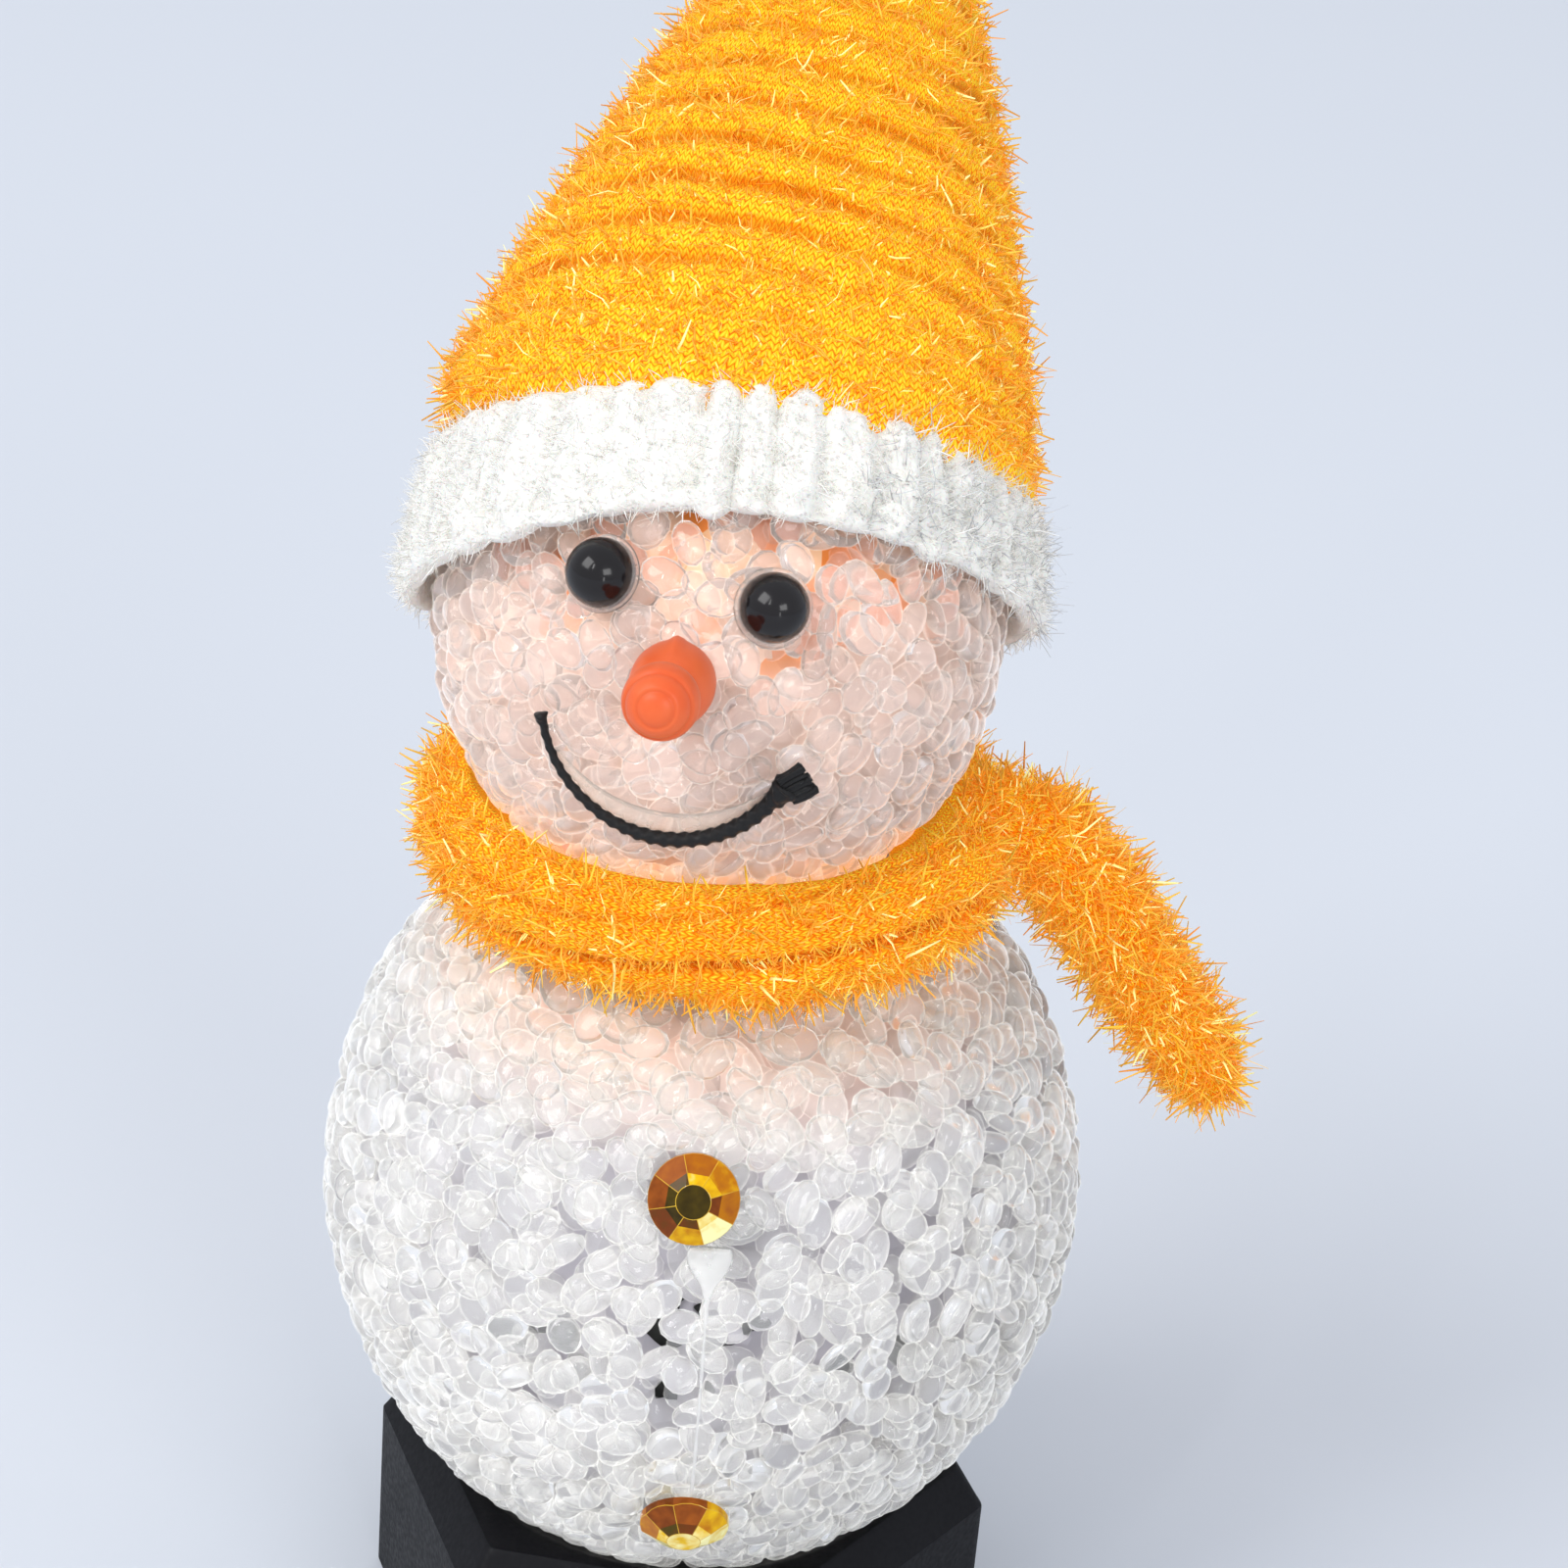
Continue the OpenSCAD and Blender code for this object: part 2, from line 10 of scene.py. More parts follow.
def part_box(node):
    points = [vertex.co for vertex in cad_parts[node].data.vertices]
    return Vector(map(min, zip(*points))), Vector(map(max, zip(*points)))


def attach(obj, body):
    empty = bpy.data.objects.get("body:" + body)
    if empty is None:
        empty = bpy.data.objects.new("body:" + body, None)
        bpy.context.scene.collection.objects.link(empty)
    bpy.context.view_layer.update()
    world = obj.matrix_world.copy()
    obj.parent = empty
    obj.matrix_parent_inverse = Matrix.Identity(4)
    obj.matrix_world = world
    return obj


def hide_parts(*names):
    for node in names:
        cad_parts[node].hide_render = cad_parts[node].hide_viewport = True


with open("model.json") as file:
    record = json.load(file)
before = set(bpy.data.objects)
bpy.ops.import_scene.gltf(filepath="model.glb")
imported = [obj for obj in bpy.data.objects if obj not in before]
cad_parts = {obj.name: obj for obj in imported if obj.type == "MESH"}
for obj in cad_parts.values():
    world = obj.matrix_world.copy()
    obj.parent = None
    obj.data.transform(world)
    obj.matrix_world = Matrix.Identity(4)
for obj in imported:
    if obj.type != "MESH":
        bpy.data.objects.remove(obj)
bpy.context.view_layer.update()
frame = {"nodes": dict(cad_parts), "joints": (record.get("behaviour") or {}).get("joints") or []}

# ---- Camera, light and table ----
# The lamp is a tabletop decoration, seen from close in front and a little above, under a
# large soft light from the left. The table and everything behind it are plain and pale.
mm = 0.001
neck_flat_r = 18 * mm
opening_r = 12.5 * mm


def flat_share(r, half_w):
    """How far up an oval ball, as a share of its half height, a flat of radius r lies."""
    return sqrt(1 - (r / half_w) ** 2)


shell_low, shell_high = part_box("body_shell_left")
body_w = -shell_low.x
body_h = (shell_high.z - shell_low.z) / (flat_share(neck_flat_r, body_w)
                                         + flat_share(opening_r, body_w))
neck_z = shell_high.z
body_at = Vector((0, 0, neck_z - body_h * flat_share(neck_flat_r, body_w)))
face_low, face_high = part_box("head_shell_front")
head_w = (face_high.x - face_low.x) / 2
head_h = (face_high.z - face_low.z) / (1 + flat_share(neck_flat_r, head_w))
head_at = Vector(((face_high.x + face_low.x) / 2, 0, face_high.z - head_h))

camera_rise = radians(28)
camera_roll = radians(4.8)
camera_far = 471 * mm
camera_aim = (9.75 * mm, 45.5 * mm)
ahead = Vector((0, cos(camera_rise), -sin(camera_rise)))
level = Vector((1, 0, 0))
upward = Vector((0, sin(camera_rise), cos(camera_rise)))
camera_x = cos(camera_roll) * level + sin(camera_roll) * upward
camera_y = cos(camera_roll) * upward - sin(camera_roll) * level
camera = bpy.data.objects.new("camera", bpy.data.cameras.new("camera"))
camera.data.lens = 90.8
camera.data.sensor_width = 36
camera.data.clip_start = 0.01
camera.matrix_world = Matrix((camera_x, camera_y, -ahead)).transposed().to_4x4()
camera.location = body_at - camera_far * ahead + camera_aim[0] * camera_x + camera_aim[1] * camera_y
bpy.context.scene.collection.objects.link(camera)
bpy.context.scene.camera = camera
bpy.context.scene.view_settings.view_transform = "Standard"


def soft_light(name, at, size, watts):
    """A rectangular soft box that faces the lamp."""
    box = bpy.data.lights.new(name, "AREA")
    box.shape = "RECTANGLE"
    box.size, box.size_y = size
    box.energy = watts
    holder = bpy.data.objects.new(name, box)
    holder.location = at
    holder.rotation_euler = (body_at - Vector(at)).to_track_quat("-Z", "Y").to_euler()
    bpy.context.scene.collection.objects.link(holder)


soft_light("key", (-1.9, -1.2, 2.3), (1.7, 1.7), 45)
soft_light("front", (1.3, -2.1, 1.3), (1.2, 0.9), 17)
soft_light("streak_left", (-0.32, -0.75, 0.85), (0.035, 0.3), 0.55)
soft_light("streak_right", (0.3, -0.9, 0.18), (0.03, 0.22), 0.22)
world = bpy.data.worlds.new("studio")
world.use_nodes = True
world.node_tree.nodes["Background"].inputs["Color"].default_value = (0.88, 0.92, 1, 1)
world.node_tree.nodes["Background"].inputs["Strength"].default_value = 0.84
bpy.context.scene.world = world


def put(tree, kind, **settings):
    node = tree.nodes.new(kind)
    for key, value in settings.items():
        setattr(node, key, value)
    return node


def feed(tree, socket, value):
    """Links value to socket if it is another socket, and otherwise sets it."""
    if isinstance(value, bpy.types.NodeSocket):
        tree.links.new(value, socket)
    elif socket.type == "RGBA" and len(value) == 3:
        socket.default_value = (*value, 1)
    else:
        socket.default_value = value


def reckon(tree, operation, *values):
    node = put(tree, "ShaderNodeMath", operation=operation)
    for socket, value in zip(node.inputs, values):
        feed(tree, socket, value)
    return node.outputs[0]


def mix_colours(tree, share, first, second):
    node = put(tree, "ShaderNodeMix", data_type="RGBA")
    feed(tree, node.inputs["Factor"], share)
    feed(tree, node.inputs[6], first)
    feed(tree, node.inputs[7], second)
    return node.outputs[2]


def in_range(tree, value, low, high, new_low=0.0, new_high=1.0):
    node = put(tree, "ShaderNodeMapRange", interpolation_type="SMOOTHSTEP")
    for socket, number in zip(node.inputs, (value, low, high, new_low, new_high)):
        feed(tree, socket, number)
    return node.outputs[0]


def cloud(tree, place, scale, detail=2.0):
    node = put(tree, "ShaderNodeTexNoise")
    feed(tree, node.inputs["Vector"], place)
    feed(tree, node.inputs["Scale"], scale)
    feed(tree, node.inputs["Detail"], detail)
    return node.outputs["Fac"]


def new_group(name, inputs, outputs):
    """An empty node group. inputs and outputs are name: (socket kind, starting value)."""
    tree = bpy.data.node_groups.new(name, "ShaderNodeTree")
    for sockets, way in ((inputs, "INPUT"), (outputs, "OUTPUT")):
        for label, (kind, start) in sockets.items():
            socket = tree.interface.new_socket(label, in_out=way, socket_type="NodeSocket" + kind)
            if start is not None:
                socket.default_value = (*start, 1) if kind == "Color" else start
    return tree, put(tree, "NodeGroupInput").outputs, put(tree, "NodeGroupOutput").inputs


def use_group(tree, name, **values):
    node = put(tree, "ShaderNodeGroup", node_tree=bpy.data.node_groups[name])
    for label, value in values.items():
        feed(tree, node.inputs[label.replace("_", " ")], value)
    return node.outputs


def new_finish(name, **constants):
    """A material with one Principled shader. Returns it, its tree and the shader's inputs."""
    finish = bpy.data.materials.new(name)
    finish.use_nodes = True
    tree = finish.node_tree
    shader = tree.nodes["Principled BSDF"]
    for label, value in constants.items():
        feed(tree, shader.inputs[label.replace("_", " ")], value)
    return finish, tree, shader.inputs


def raise_normal(tree, inputs, height, strength, distance):
    """Bumps the surface by height, which is 0 to 1, times distance in metres."""
    bump = put(tree, "ShaderNodeBump")
    feed(tree, bump.inputs["Strength"], strength)
    feed(tree, bump.inputs["Distance"], distance)
    feed(tree, bump.inputs["Height"], height)
    feed(tree, inputs["Normal"], bump.outputs["Normal"])


def object_place(tree):
    return put(tree, "ShaderNodeTexCoord").outputs["Object"]


def table_finish():
    finish, tree, inputs = new_finish("table_white", Roughness=0.7)
    haze = cloud(tree, object_place(tree), 2.5)
    feed(tree, inputs["Base Color"], mix_colours(tree, haze, (0.65, 0.68, 0.73), (0.675, 0.705, 0.75)))
    return finish


table_half = 4.0
table_mesh = bpy.data.meshes.new("table")
table_corners = [(-table_half, -table_half, 0), (table_half, -table_half, 0),
                 (table_half, table_half, 0), (-table_half, table_half, 0)]
table_mesh.from_pydata(table_corners, [], [(0, 1, 2, 3)])
table_mesh.materials.append(table_finish())
table = bpy.data.objects.new("table", table_mesh)
bpy.context.scene.collection.objects.link(table)

# ---- Base housing ----
# A hexagonal box injection-moulded in matt black plastic, open below, with a bevelled top and
# a round dish in which the body ball is glued.
base_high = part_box("base_housing")[1]
door_slide = next(j for j in frame["joints"] if j["name"] == "battery_door_slide")["axis"]
base_turn = atan2(-door_slide[0], door_slide[1])
base_r = base_high.x / cos(base_turn)
base_top = base_high.z
bevel_h = 5.2 * mm
bevel_in = 3.3 * mm
base_wall = 2 * mm
dish_wall = 1.8 * mm
glue_gap = 0.15 * mm
wire_hole_r = 3.2 * mm
corner_sharpness = 150


def moulded_group():
    """Fine spark-eroded grain, a slow drift of tone, and dust that settles in the grain."""
    tree, given, out = new_group("moulded_grain", {
        "Colour": ("Color", (0.5, 0.5, 0.5)), "Dust": ("Color", (0.5, 0.5, 0.5)),
        "Grain Scale": ("Float", 1800.0), "Drift": ("Float", 0.2),
        "Roughness Low": ("Float", 0.4), "Roughness High": ("Float", 0.6),
    }, {"Colour": ("Color", None), "Roughness": ("Float", None), "Height": ("Float", None)})
    place = object_place(tree)
    grain = cloud(tree, place, given["Grain Scale"], 3.0)
    drift = cloud(tree, place, 60.0, 3.0)
    share = reckon(tree, "MULTIPLY", in_range(tree, drift, 0.35, 0.75), given["Drift"])
    feed(tree, out["Colour"], mix_colours(tree, share, given["Colour"], given["Dust"]))
    roughness = in_range(tree, reckon(tree, "ADD", grain, reckon(tree, "MULTIPLY", drift, 0.5)), 0.4,
                         1.1, given["Roughness Low"], given["Roughness High"])
    feed(tree, out["Roughness"], roughness)
    feed(tree, out["Height"], grain)


moulded_group()


def moulded_finish(name, colour, dust, roughness, relief=0.12, grain_scale=1800.0, **constants):
    finish, tree, inputs = new_finish(name, **constants)
    made = use_group(tree, "moulded_grain", Colour=colour, Dust=dust, Grain_Scale=grain_scale,
                     Drift=0.35, Roughness_Low=roughness[0], Roughness_High=roughness[1])
    feed(tree, inputs["Base Color"], made["Colour"])
    feed(tree, inputs["Roughness"], made["Roughness"])
    raise_normal(tree, inputs, made["Height"], relief, 0.1 * mm)
    return finish


def new_piece(name, finish, points, faces, smooth=True):
    """A mesh piece that takes its finish from slot and belongs to the lamp's still body."""
    mesh = bpy.data.meshes.new(name)
    mesh.from_pydata(np.asarray(points, float).tolist(), [], [list(f) for f in faces])
    mesh.materials.append(finish)
    mesh.shade_smooth() if smooth else mesh.shade_flat()
    piece = bpy.data.objects.new(name, mesh)
    bpy.context.scene.collection.objects.link(piece)
    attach(piece, "lamp")
    return piece


def face_outward(mesh):
    work = bmesh.new()
    work.from_mesh(mesh)
    bmesh.ops.recalc_face_normals(work, faces=work.faces)
    work.to_mesh(mesh)
    work.free()


def loft(name, finish, rings, looped=False, rows=None, smooth=True):
    """Skins closed rings of points. looped joins the last ring to the first, and otherwise the
    ends are capped. rows gives each ring's place along the loft for the stitch map."""
    rings = np.asarray(rings, float)
    count, around = rings.shape[:2]
    steps = count if looped else count - 1
    faces = [(i * around + j, i * around + (j + 1) % around,
              (i + 1) % count * around + (j + 1) % around, (i + 1) % count * around + j)
             for i in range(steps) for j in range(around)]
    caps = [] if looped else [tuple(range(around))[::-1],
                              tuple(range((count - 1) * around, count * around))]
    piece = new_piece(name, finish, rings.reshape(-1, 3), faces + caps, smooth)
    if rows is None:
        rows = np.arange(count + 1) / count
    stitches = piece.data.uv_layers.new(name="stitches").data
    for i in range(steps):
        for j in range(around):
            first = 4 * (i * around + j)
            for corner, (k, v) in enumerate(((j, i), (j + 1, i), (j + 1, i + 1), (j, i + 1))):
                stitches[first + corner].uv = (k / around, rows[v])
    face_outward(piece.data)
    return piece


def hexagon_r(angle, corner_r):
    """Distance to the edge of a hexagon with slightly rounded corners, seen from its middle."""
    reach = [max(0.0, cos(angle - radians(30 + 60 * i))) ** corner_sharpness for i in range(6)]
    return corner_r * cos(radians(30)) * sum(reach) ** (-1 / corner_sharpness)


def body_r(z, grow=0.0):
    """Radius of the body ball at height z."""
    return (body_w + grow) * sqrt(max(0.0, 1 - ((z - body_at.z) / (body_h + grow)) ** 2))


def housing_outline():
    """(is it on the hexagon, radius, height) round one section, from the inner rim outwards."""
    wall_top = base_top - bevel_h
    inner = base_r - base_wall / cos(radians(30))
    edge = 0.35 * mm
    seat_low = body_at.z - (body_h + glue_gap) * flat_share(wire_hole_r, body_w + glue_gap)
    seat = [(False, body_r(z, glue_gap), z) for z in np.linspace(base_top - edge, seat_low, 14)]
    under_top = wall_top - base_wall
    under_low = seat_low - dish_wall
    under = [(False, body_r(z, glue_gap + dish_wall), z)
             for z in np.linspace(under_low, under_top, 12)[1:]]
    return [
        (True, inner, edge), (True, inner + edge, 0), (True, base_r - edge, 0), (True, base_r, edge),
        (True, base_r, wall_top - edge), (True, base_r - 0.12 * edge, wall_top),
        (True, base_r - 0.6 * edge, wall_top + 0.6 * edge),
        (True, base_r - bevel_in + 0.4 * edge, base_top - edge),
        (True, base_r - bevel_in - edge, base_top),
        (False, body_r(base_top, glue_gap) + edge, base_top), *seat,
        (False, wire_hole_r, seat_low - 0.1 * mm), (False, wire_hole_r, under_low), *under,
        (True, inner, under_top),
    ]


def housing_angles():
    """Close together at the six corners and wider apart along the flats."""
    at_corner = np.array([-4, -2.6, -1.6, -0.8, 0, 0.8, 1.6, 2.6, 4])
    between = np.linspace(8, 52, 9)
    return np.radians(np.concatenate([60 * i + np.concatenate([at_corner, between]) for i in range(6)]))


def base_housing():
    rings = []
    for on_hexagon, r, z in housing_outline():
        ring = []
        for angle in housing_angles():
            reach = hexagon_r(angle, r) if on_hexagon else r
            ring.append((reach * cos(angle + base_turn), reach * sin(angle + base_turn), z))
        rings.append(ring)
    black = moulded_finish("matt_black", (0.003, 0.003, 0.0045), (0.009, 0.009, 0.011), (0.42, 0.62),
                           relief=0.25, grain_scale=1400.0, Specular_IOR_Level=0.15)
    piece = loft("housing", black, rings, looped=True, smooth=False)
    piece.data.shade_smooth()
    piece.data.set_sharp_from_angle(angle=radians(25))
    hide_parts("base_housing")


base_housing()

# ---- Battery compartment, switch and lamp ----
# The bottom plate, its sliding door and the switch are black mouldings, held by three steel
# screws. Inside are three button cells, the board with its lamp, and three soldered wires.


def dress(node, finish):
    mesh = frame["nodes"][node].data
    mesh.materials.clear()
    mesh.materials.append(finish)


def wire_finish(name, colour):
    return moulded_finish(name, colour, tuple(0.8 * c for c in colour), (0.3, 0.42), 0.05, 900.0)


grained = dict(relief=0.2)
steel = dict(Metallic=1.0)
glassy = dict(Transmission_Weight=0.8, IOR=1.5)
for node, name, colour, dust, roughness, extra in (
    ("base_bottom", "plate_black", (0.014, 0.014, 0.016), (0.03, 0.03, 0.033), (0.45, 0.65), grained),
    ("battery_door", "door_black", (0.018, 0.018, 0.02), (0.035, 0.035, 0.038), (0.4, 0.6), grained),
    ("housing_screws", "screw_steel", (0.55, 0.55, 0.56), (0.42, 0.42, 0.43), (0.22, 0.4), steel),
    ("button_cell_1", "cell_nickel_1", (0.66, 0.66, 0.65), (0.55, 0.55, 0.54), (0.15, 0.3), steel),
    ("button_cell_2", "cell_nickel_2", (0.66, 0.66, 0.65), (0.55, 0.55, 0.54), (0.15, 0.3), steel),
    ("button_cell_3", "cell_nickel_3", (0.66, 0.66, 0.65), (0.55, 0.55, 0.54), (0.15, 0.3), steel),
    ("contact_spring", "spring_nickel", (0.6, 0.6, 0.6), (0.5, 0.5, 0.5), (0.15, 0.3), steel),
    ("contact_plates", "contact_brass", (0.62, 0.5, 0.28), (0.5, 0.4, 0.2), (0.2, 0.4), steel),
    ("switch_body", "switch_black", (0.02, 0.02, 0.022), (0.04, 0.04, 0.042), (0.3, 0.5), {}),
    ("switch_knob", "knob_white", (0.75, 0.75, 0.74), (0.62, 0.62, 0.6), (0.3, 0.5), {}),
    ("led_holder", "holder_black", (0.012, 0.012, 0.014), (0.028, 0.028, 0.03), (0.4, 0.6), {}),
    ("circuit_board", "board_green", (0.02, 0.16, 0.05), (0.03, 0.22, 0.07), (0.25, 0.4), {}),
    ("driver_chip", "chip_epoxy", (0.006, 0.006, 0.006), (0.012, 0.012, 0.012), (0.2, 0.35), {}),
    ("led_lamp", "lamp_clear", (0.92, 0.94, 0.97), (0.85, 0.87, 0.9), (0.05, 0.12), glassy),
):
    dress(node, moulded_finish(name, colour, dust, roughness, **extra))
for node, colour in (("wire_red", (0.5, 0.015, 0.015)), ("wire_black", (0.012, 0.012, 0.012)),
                     ("wire_white", (0.75, 0.75, 0.73))):
    dress(node, wire_finish(node, colour))

# ---- Body ball ----
# Clear resin pellets, each a small oval lens, fused in a mould into two half balls whose
# outer faces lie flush. The halves are glued at an upright seam.
seam_turn = radians(3)
pellet_around = 12
pellet_rows = 6
pellet_spacing = 3.7 * mm
pellet_spans = ((2.3, 3.1), (1.75, 2.3), (1.0, 1.45))
resin_shadow_tint = (0.985, 0.985, 0.985)


def unit_pellet():
    """Points and faces of a plump lens with half sizes of 1."""
    rows = [radians(-90 + 180 * i / (pellet_rows + 1)) for i in range(1, pellet_rows + 1)]
    points = [(0, 0, -1)]
    for row in rows:
        wide = cos(row) ** 0.75
        points += [(wide * cos(2 * pi * j / pellet_around), wide * sin(2 * pi * j / pellet_around),
                    sin(row))
                   for j in range(pellet_around)]
    points.append((0, 0, 1))
    last = len(points) - 1
    faces = []
    for j in range(pellet_around):
        k = (j + 1) % pellet_around
        faces.append((0, 1 + k, 1 + j))
        faces.append((last, last - pellet_around + j, last - pellet_around + k))
        for i in range(pellet_rows - 1):
            low = 1 + i * pellet_around
            faces.append((low + j, low + k, low + pellet_around + k, low + pellet_around + j))
    return np.array(points), faces


def pellet_group():
    """Tone, cloudiness and surface ripple of one clear pellet, from its own random tone."""
    tree, given, out = new_group("pellet", {
        "Clear": ("Color", (0.9, 0.9, 0.9)), "Cloudy": ("Color", (1, 1, 1)),
        "Ripple Scale": ("Float", 500.0),
    }, {"Colour": ("Color", None), "Height": ("Float", None)})
    tone = put(tree, "ShaderNodeAttribute", attribute_name="tone").outputs["Fac"]
    swirl = cloud(tree, object_place(tree), given["Ripple Scale"], 1.0)
    share = reckon(tree, "ADD", reckon(tree, "MULTIPLY", tone, 0.7),
                   reckon(tree, "MULTIPLY", swirl, 0.3))
    feed(tree, out["Colour"], mix_colours(tree, share, given["Clear"], given["Cloudy"]))
    feed(tree, out["Height"], swirl)


pellet_group()


def let_light_through(finish):
    """Shadow rays pass through the resin, so that the pellets under it are lit."""
    tree = finish.node_tree
    shader = tree.nodes["Principled BSDF"]
    output = tree.nodes["Material Output"]
    path = put(tree, "ShaderNodeLightPath")
    window = put(tree, "ShaderNodeBsdfTransparent")
    window.inputs["Color"].default_value = (*resin_shadow_tint, 1)
    blend = put(tree, "ShaderNodeMixShader")
    tree.links.new(path.outputs["Is Shadow Ray"], blend.inputs[0])
    tree.links.new(shader.outputs[0], blend.inputs[1])
    tree.links.new(window.outputs[0], blend.inputs[2])
    tree.links.new(blend.outputs[0], output.inputs["Surface"])


def pellet_finish(name, clear, cloudy, rim, transmission, glow, warm, warm_from, warm_to, warm_glow):
    """Clear resin that looks milky in the middle, with a painted highlight along its rim: a paler
    colour and a glow there, set by the viewing angle. Between the heights warm_from and
    warm_to it is painted with warm light bounced from the scarf, and warm_glow is the share
    of the glow that takes that colour."""
    finish, tree, inputs = new_finish(name, Roughness=0.03, IOR=1.4, Transmission_Weight=transmission)
    made = use_group(tree, "pellet", Clear=clear, Cloudy=cloudy, Ripple_Scale=420.0)
    facing = put(tree, "ShaderNodeLayerWeight").outputs["Facing"]
    height = put(tree, "ShaderNodeSeparateXYZ")
    feed(tree, height.inputs[0], object_place(tree))
    # Painted warm light from the scarf, between warm_from and warm_to.
    scarf_bounce_share = in_range(tree, height.outputs["Z"], warm_from, warm_to)
    # Painted rim highlight: a paler colour where the surface turns away from the view.
    colour = mix_colours(tree, in_range(tree, facing, 0.35, 0.85), made["Colour"], rim)
    feed(tree, inputs["Base Color"],
         mix_colours(tree, reckon(tree, "MULTIPLY", scarf_bounce_share, 0.7), colour, warm))
    # Painted glow along the rim, in the warm colour near the scarf.
    lit = mix_colours(tree, in_range(tree, facing, 0.45, 0.95), (0, 0, 0), rim)
    feed(tree, inputs["Emission Color"],
         mix_colours(tree, reckon(tree, "MULTIPLY", scarf_bounce_share, warm_glow), lit, warm))
    feed(tree, inputs["Emission Strength"], glow)
    finish.cycles.emission_sampling = "NONE"
    raise_normal(tree, inputs, made["Height"], 0.42, 0.5 * mm)
    let_light_through(finish)
    return finish


def ball_pellets(centre, half_w, half_h, depth, spacing, seed, size=1.0, low=-1.0, high=1.0, gaps=()):
    """Places pellets evenly over an oval ball, with their outer faces depth below its skin.
    low and high limit them to a share of the half height, and gaps are directions and widths,
    as shares of the size, that stay empty. Returns points, faces per pellet, each pellet's
    outward direction and a random tone."""
    random = np.random.default_rng(seed)
    wide, tall = half_w - depth, half_h - depth
    count = int(4 * pi * wide * (wide + tall) / 2 / (spacing ** 2 * 0.9))
    turn = pi * (3 - sqrt(5))
    shape, shape_faces = unit_pellet()
    clouds, outward = [], []
    for i in range(count):
        up = 1 - 2 * (i + 0.5) / count + random.normal(0, 0.25 * spacing / tall)
        if not max(low, -0.999) < up < min(high, 0.999):
            random.random(8)
            continue
        angle = i * turn + random.normal(0, 0.22) * spacing / (wide * sqrt(1 - up * up))
        flat = sqrt(1 - up * up)
        direction = np.array((flat * cos(angle), flat * sin(angle), up))
        normal = direction / np.array((wide, wide, tall))
        normal /= np.linalg.norm(normal)
        side = np.cross((0, 0, 1), normal)
        side /= np.linalg.norm(side)
        spin = random.random() * pi
        along = cos(spin) * side + sin(spin) * np.cross(normal, side)
        across = np.cross(normal, along)
        tilt = radians(abs(random.normal(0, 26)) if random.random() < 0.72 else random.uniform(35, 85))
        across, short = (cos(tilt) * across + sin(tilt) * normal,
                         cos(tilt) * normal - sin(tilt) * across)
        sizes = size * mm * np.array([random.uniform(*span) for span in pellet_spans])
        reach = sqrt((sizes[1] * sin(tilt)) ** 2 + (sizes[2] * cos(tilt)) ** 2)
        sunk = reach + random.uniform(0, 0.5) * mm
        if any(np.linalg.norm(direction - way) < width for way, width in gaps):
            continue
        at = direction * (wide, wide, tall) - normal * sunk
        clouds.append(at + (shape * sizes) @ np.array((along, across, short)) + np.array(centre))
        outward.append(direction)
    return np.array(clouds), shape_faces, np.array(outward), random.random(len(clouds))


def mark(piece, label, values):
    """Gives every vertex of a piece its own value, which a finish reads by the label."""
    marks = piece.data.attributes.new(label, "FLOAT", "POINT")
    marks.data.foreach_set("value", np.asarray(values, np.float32).reshape(-1))


def pellet_piece(name, finish, clouds, shape_faces, tones):
    step = clouds.shape[1]
    faces = [tuple(i * step + k for k in face) for i in range(len(clouds)) for face in shape_faces]
    piece = new_piece(name, finish, clouds.reshape(-1, 3), faces)
    mark(piece, "tone", np.repeat(tones, step))
    return piece


def half_ball(name, finish, centre, half_w, half_h, depth, wall, facing, low, high):
    """Closed inner wall of half a ball, where the pellets have run together. facing is the
    direction that the half looks in, and low and high are its ends as shares of the height."""
    rows = np.linspace(low, high, 41)
    turns = np.linspace(-pi / 2, pi / 2, 61) + facing
    rings = []
    for t in turns:
        outer = [(half_w - depth, half_h - depth, u) for u in rows]
        inner = [(half_w - depth - wall, half_h - depth - wall, u) for u in rows[::-1]]
        rings.append([(centre[0] + w * sqrt(1 - u * u) * cos(t),
                       centre[1] + w * sqrt(1 - u * u) * sin(t),
                       centre[2] + h * u) for w, h, u in outer + inner])
    return loft(name, finish, rings)


